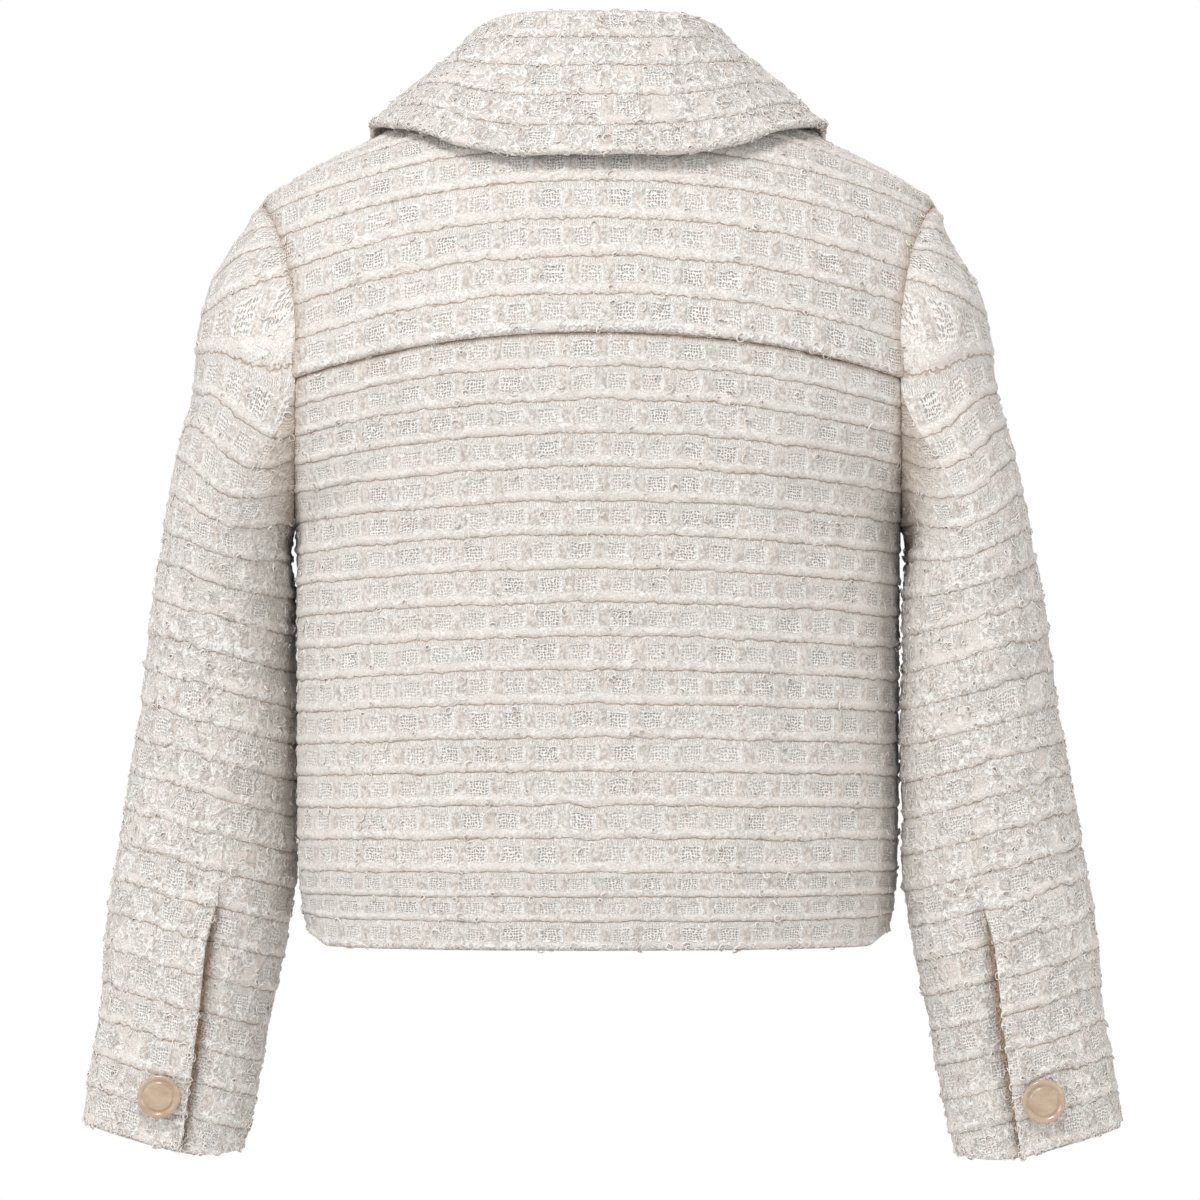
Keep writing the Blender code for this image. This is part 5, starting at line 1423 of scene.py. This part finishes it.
@cache
def weave_group():
    """The tweed's threads: its windows, slubs, double threads, grooves and stray curls, with
    painted shade and highlight.
    """
    inputs = [
        ("Weave", "NodeSocketVector", None),
        ("Place", "NodeSocketVector", None),
        ("Tangle", "NodeSocketFloat", 0.4),
        ("Shade", "NodeSocketFloat", 0.0),
        ("Yarn", "NodeSocketColor", srgb("EFE9E3")),
        # Bright yarn and highlight: the whiter threads' own yarn, also painted highlight on those
        # threads and along each stray curl.
        ("Bright yarn", "NodeSocketColor", srgb("FFFDFA")),
        # Groove shade and dark fibre: painted shade along and beside the grooves between rows, also
        # the colour of the darker fibres.
        ("Groove", "NodeSocketColor", srgb("AC9885")),
        # Hollow shade and fleck: painted shade in the windows' pinholes, between rungs, round the
        # windows and beside each stray curl, also dark tufts and specks.
        ("Hollow", "NodeSocketColor", srgb("8E8278")),
        ("Rose", "NodeSocketColor", srgb("EEE6E0")),
        ("Sage", "NodeSocketColor", srgb("E8E5DE")),
    ]
    outputs = [
        ("Color", "NodeSocketColor"), ("Height", "NodeSocketFloat"), ("Nap", "NodeSocketFloat"),
    ]
    group, n, given, result = new_group("boucle weave", inputs, outputs)
    weave, place, tangle = given["Weave"], given["Place"], given["Tangle"]
    wobble = n.noise(place, 320.0, 1.0, 0.5, "Color")
    shift = n.scaled(n.vector("SUBTRACT", wobble, (0.5, 0.5, 0.5)), 0.16, 0.15, 0.0)
    turned = n.vector("ADD", weave, shift)
    parts = n.add("ShaderNodeSeparateXYZ", {0: turned}).outputs
    f, w = n.math("FRACT", parts["X"]), n.math("FRACT", parts["Y"])
    cell = n.vector("FLOOR", turned)
    lot = n.add("ShaderNodeTexWhiteNoise", {"Vector": cell}, noise_dimensions="3D").outputs["Value"]
    shown = n.less(1.0, n.times(tangle, n.step(lot, 0.30, 0.40)))
    to_groove = n.math("MINIMUM", w, n.less(1.0, w))
    groove = n.step(to_groove, 0.002, 0.030, 1.0, 0.0)
    shade = n.step(to_groove, 0.0, 0.16, 1.0, 0.0)
    in_rows = n.between(w, 0.25, 0.66, 0.03)
    window = n.times(n.times(n.between(f, 0.09, 0.66, 0.03), in_rows), shown)
    column = n.times(n.step(f, 0.66, 0.72), n.between(w, 0.2, 0.7, 0.04))
    slub = n.between(w, 0.69, 0.985, 0.04)
    ladder = n.between(w, 0.06, 0.17, 0.02)
    bar = n.times(n.between(f, 0.02, 0.085, 0.02), n.between(w, 0.22, 0.68, 0.03))
    turns = n.times(n.plus(n.ripple(f, 12), 1.0), 0.5)
    picks = n.times(n.plus(n.ripple(w, 11), 1.0), 0.5)
    dots = n.times(n.step(n.times(turns, picks), 0.2, 0.52), window)
    threads = n.greater(n.step(turns, 0.25, 0.0), n.step(picks, 0.25, 0.0))
    threads = n.times(threads, window)
    rungs = n.times(n.step(n.ripple(f, 15), 0.3, 0.95), ladder)
    curls, below = stray_curls(n, place)
    frame_rows = n.between(w, 0.215, 0.695, 0.02)
    sides = n.times(n.between(f, 0.04, 0.70, 0.02), frame_rows)
    sides = n.less(sides, n.between(f, 0.12, 0.63, 0.02))
    ends = n.times(n.between(f, 0.06, 0.68, 0.02), n.less(frame_rows, in_rows))
    rim = n.times(n.greater(sides, ends), shown)
    plain = n.times(n.step(window, 0.2, 0.9, 1.0, 0.12), n.plus(n.times(tangle, 0.75), 0.25))
    fibre = n.noise(n.scaled(turned, 7.0, 30.0, 1.0), 2.6, 2.0, 0.62)
    fleck = n.noise(place, 1000.0, 1.0, 0.6)
    rose = n.step(n.noise(place, 34.0, 2.0, 0.55), 0.42, 0.62)
    colour = n.mix(rose, given["Yarn"], given["Rose"])
    sage = n.step(n.noise(n.scaled(place, 1.0, 1.3, 1.6), 41.0, 2.0, 0.5), 0.50, 0.66)
    colour = n.mix(sage, colour, given["Sage"])
    fuzzy = n.times(n.step(fibre, 0.36, 0.60, 0.34, 0.0), n.step(window, 0.1, 0.8, 1.0, 0.15))
    colour = n.mix(fuzzy, colour, given["Groove"])
    # light marks the bright threads of slubs, double thread, bars, rims and windows: whiter yarn
    # with painted highlight on it.
    light = n.times(slub, n.step(fibre, 0.42, 0.64, 0.0, 0.55))
    light = n.greater(light, n.times(ladder, n.step(fibre, 0.4, 0.6, 0.2, 0.7)))
    light = n.greater(light, n.times(bar, n.step(fibre, 0.3, 0.6, 0.3, 0.9)))
    light = n.greater(light, n.times(rim, n.step(fibre, 0.3, 0.6, 0.7, 1.0)))
    light = n.greater(light, n.times(threads, n.step(fleck, 0.4, 0.6, 0.4, 0.85)))
    colour = n.mix(light, colour, given["Bright yarn"])
    # Painted shadow beside each stray curl.
    colour = n.mix(n.times(n.step(below, 0.2, 0.9, 0.0, 0.30), plain), colour, given["Hollow"])
    # Painted highlight along each stray curl.
    colour = n.mix(n.times(n.step(curls, 0.35, 0.9, 0.0, 0.9), plain), colour, given["Bright yarn"])
    tuft = n.step(n.noise(n.scaled(place, 1.0, 1.0, 0.6), 480.0, 2.0, 0.6), 0.36, 0.60, 0.40, 0.0)
    colour = n.mix(n.times(column, tuft), colour, given["Hollow"])
    # Painted shade in the windows' pinholes.
    colour = n.mix(n.times(dots, n.less(0.88, n.times(tangle, 0.4))), colour, given["Hollow"])
    # Painted shade between the rungs of the double thread.
    colour = n.mix(n.times(rungs, 0.35), colour, given["Hollow"])
    # Painted shade in a thin line round each window.
    outline = n.times(n.between(f, 0.005, 0.735, 0.012), n.between(w, 0.18, 0.73, 0.012))
    within = n.times(n.between(f, 0.04, 0.70, 0.012), n.between(w, 0.215, 0.695, 0.012))
    outline = n.times(n.less(outline, within), shown)
    colour = n.mix(n.times(outline, n.step(fibre, 0.32, 0.56, 0.5, 0.05)), colour, given["Hollow"])
    over = n.times(n.step(curls, 0.5, 0.9), plain)
    # Painted shade along each groove, lighter under the curls and broken off in patches of tangled
    # weave.
    painted_groove_shade = n.times(groove, n.less(0.85, n.times(over, 0.6)))
    groove_shade_breaks = n.times(tangle, n.step(n.noise(place, 90.0, 1.0, 0.5), 0.46, 0.58))
    painted_groove_shade = n.times(painted_groove_shade, n.less(1.0, n.times(groove_shade_breaks, 0.85)))
    colour = n.mix(painted_groove_shade, colour, given["Groove"])
    colour = n.mix(n.times(shade, 0.12), colour, given["Groove"])
    colour = n.mix(n.step(fleck, 0.32, 0.48, 0.16, 0.0), colour, given["Hollow"])
    colour = n.mix(given["Shade"], colour, n.mix(1.0, colour, srgb("C4A88C"), "MULTIPLY"))
    height = n.times(fibre, 0.5)
    height = n.plus(height, n.times(n.times(curls, plain), 0.65))
    height = n.plus(height, n.times(fleck, 0.18))
    height = n.less(height, n.times(dots, 0.55))
    height = n.less(height, n.times(groove, 0.5))
    height = n.less(height, n.times(rungs, 0.3))
    height = n.plus(height, n.times(rim, 0.5))
    n.set(result["Color"], colour)
    n.set(result["Height"], height)
    n.set(result["Nap"], n.step(light, 0.0, 1.0, 0.96, 0.86))
    return group


def stray_curls(n, place):
    """Thin winding threads over the weave: their height and painted highlight, and painted shade on
    one side.
    """
    threads, shade = None, None
    for scale, thin, shift in ((165.0, 0.034, 0.0), (225.0, 0.042, 3.7)):
        moved = n.vector("ADD", place, (shift, shift, shift))
        side = n.less(n.noise(moved, scale, 1.0, 0.35), 0.5)
        line = n.step(n.math("ABSOLUTE", side), 0.0, thin * 2.0, 1.0, 0.0)
        dark = n.between(side, thin * 1.6, thin * 3.6, thin * 0.6)
        threads = line if threads is None else n.greater(threads, line)
        shade = dark if shade is None else n.greater(shade, dark)
    broken = n.step(n.noise(place, 60.0, 1.0, 0.5), 0.38, 0.46)
    return n.times(threads, broken), n.times(shade, broken)


def new_material(name):
    """A new material, its nodes, and the inputs of its shader."""
    material = bpy.data.materials.new(name)
    material.use_nodes = True
    shader = material.node_tree.nodes["Principled BSDF"]
    return material, Nodes(material.node_tree), shader.inputs


def tweed(name, fineness=1.0, dull=0.0):
    """The jacket's tweed. fineness is how fine it is, and dull how grey."""
    material, n, shader = new_material(name)
    weave = n.add("ShaderNodeUVMap", uv_map="weave").outputs[0]
    if fineness != 1.0:
        weave = n.scaled(weave, fineness, fineness)
    group = n.add("ShaderNodeGroup", node_tree=weave_group())
    n.set(group.inputs["Weave"], weave)
    n.set(group.inputs["Place"], n.add("ShaderNodeTexCoord").outputs["Object"])
    shade = n.add("ShaderNodeAttribute", attribute_name="shade").outputs["Fac"]
    n.set(group.inputs["Shade"], shade)
    curl = n.add("ShaderNodeAttribute", attribute_name="curl").outputs["Fac"]
    n.set(group.inputs["Tangle"], n.math("MINIMUM", curl, 1.0))
    colour = group.outputs["Color"]
    if dull:
        colour = n.mix(dull, colour, srgb("C0B7AC"))
    relief = {"Strength": 1.0, "Distance": 0.0011, "Height": group.outputs["Height"]}
    bumped = n.add("ShaderNodeBump", relief)
    n.set(shader["Base Color"], colour)
    n.set(shader["Roughness"], group.outputs["Nap"])
    n.set(shader["Normal"], bumped.outputs[0])
    n.set(shader["Sheen Weight"], 0.15)
    n.set(shader["Sheen Roughness"], 0.5)
    n.set(shader["Specular IOR Level"], 0.2)
    return material


@cache
def curl_yarn():
    """The yarn of the stray curls, a little brighter than the cloth."""
    material, n, shader = new_material("curl yarn")
    place = n.add("ShaderNodeTexCoord").outputs["Object"]
    tint = n.step(n.noise(place, 60.0, 1.0, 0.5), 0.4, 0.6)
    colour = n.mix(tint, srgb("F7F3EE"), srgb("F0E8E1"))
    twist = n.noise(place, 1500.0, 2.0, 0.6)
    colour = n.mix(n.step(twist, 0.35, 0.6, 0.3, 0.0), colour, srgb("CFC4B9"))
    bumped = n.add("ShaderNodeBump", {"Strength": 0.8, "Distance": 0.0004, "Height": twist})
    n.set(shader["Base Color"], colour)
    n.set(shader["Normal"], bumped.outputs[0])
    n.set(shader["Roughness"], 0.9)
    n.set(shader["Sheen Weight"], 0.15)
    n.set(shader["Specular IOR Level"], 0.2)
    return material


@cache
def horn():
    """Tan resin that looks like polished horn, with faint clouds."""
    material, n, shader = new_material("tan horn")
    place = n.add("ShaderNodeTexCoord").outputs["Object"]
    cloud = n.step(n.noise(n.scaled(place, 1.0, 1.0, 2.4), 70.0, 3.0, 0.55), 0.3, 0.7)
    colour = n.mix(cloud, srgb("AE957D"), srgb("BFA990"))
    scuff = n.noise(place, 1400.0, 2.0, 0.6)
    bumped = n.add("ShaderNodeBump", {"Strength": 0.12, "Distance": 0.0002, "Height": scuff})
    n.set(shader["Base Color"], colour)
    n.set(shader["Roughness"], n.step(scuff, 0.3, 0.7, 0.22, 0.34))
    n.set(shader["Normal"], bumped.outputs[0])
    n.set(shader["Coat Weight"], 0.8)
    n.set(shader["Coat Roughness"], 0.12)
    return material


# ---- the room -------------------------------------------------------------------------------


def add_room():
    scene = bpy.context.scene
    scene.view_settings.view_transform = "Standard"
    scene.view_settings.look = "None"
    mesh = bpy.data.meshes.new("pale floor")
    bm = bmesh.new()
    bmesh.ops.create_circle(bm, cap_ends=True, radius=FLOOR_RADIUS, segments=96)
    bm.to_mesh(mesh)
    bm.free()
    mesh.transform(Matrix.Translation((0, 0, FLOOR_LEVEL)))
    floor = put_in("pale_floor", mesh)
    plain, n, shader = new_material("pale floor")
    place = n.add("ShaderNodeTexCoord").outputs["Object"]
    colour = n.mix(n.noise(place, 3.0), (0.86, 0.86, 0.85, 1), (0.90, 0.90, 0.89, 1))
    n.set(shader["Base Color"], colour)
    n.set(shader["Roughness"], 0.8)
    mesh.materials.append(plain)
    world = bpy.data.worlds.new("white room")
    scene.world = world
    world.use_nodes = True
    n = Nodes(world.node_tree)
    world.node_tree.nodes.clear()
    seen = n.add("ShaderNodeBackground", {"Color": (1, 1, 1, 1), "Strength": 1.0})
    lit = n.add("ShaderNodeBackground", {"Color": (1, 0.995, 0.985, 1), "Strength": ROOM_LIGHT})
    choose = n.add("ShaderNodeMixShader")
    n.set(choose.inputs[0], n.add("ShaderNodeLightPath").outputs["Is Camera Ray"])
    n.set(choose.inputs[1], lit.outputs[0])
    n.set(choose.inputs[2], seen.outputs[0])
    n.set(n.add("ShaderNodeOutputWorld").inputs["Surface"], choose.outputs[0])
    for name, place, size, watts in SOFT_LIGHTS:
        data = bpy.data.lights.new(name, "AREA")
        data.shape = "DISK"
        data.size = size
        data.energy = watts
        lamp = put_in(name, data)
        lamp.location = place
        towards = Vector(LIT_POINT) - Vector(place)
        lamp.rotation_euler = towards.to_track_quat("-Z", "Y").to_euler()
    data = bpy.data.cameras.new("back view")
    data.type = "PERSP"
    data.sensor_width = SENSOR_WIDTH
    data.lens = SENSOR_WIDTH * CAMERA_AWAY / FRAME_WIDTH
    data.clip_end = 50
    camera = put_in("back view", data)
    camera.location = (CAMERA_X, CAMERA_AWAY, CAMERA_LEVEL)
    camera.rotation_euler = (math.radians(90), 0, math.radians(180))
    scene.camera = camera


def dress():
    add_back()
    add_yoke()
    add_front("tweed_front_left", 1, False, 3.0)
    add_front("tweed_front_right", -1, True, 4.0)
    for arm, seed in zip(ARMS, (5.0, 6.0)):
        sleeve = Sleeve(arm)
        sleeve.add_upper(seed)
        sleeve.add_under(seed + 20)
        node = f"cuff_button_{arm.name}"
        add_button(f"horn_{node}", node, *sleeve.button_seat())
    add_collar(7.0)
    for number, level in enumerate(FRONT_BUTTON_LEVELS, 1):
        normal = FRONT.normal(level, math.pi / 2)
        seat = FRONT.point(level, math.pi / 2) + normal * (LAP_RISE + RIB_HEIGHT)
        add_button(f"horn_front_button_{number}", f"front_button_{number}", seat, normal)
    face = tweed("ivory boucle tweed")
    reverse = tweed("tweed reverse", 2.0, 0.35)
    made = curl_tree([curl_form(k, form) for k, form in enumerate(CURL_FORMS)])
    for number, (piece, node, flat, area) in enumerate(SHEETS):
        curls = add_curls(piece, number + 1, made)
        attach(curls, ROOT)
        piece.data.materials.append(face)
        piece.data.materials.append(reverse)
        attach(piece, ROOT)
        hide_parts(node)
        area = area * MM * MM


add_room()
dress()
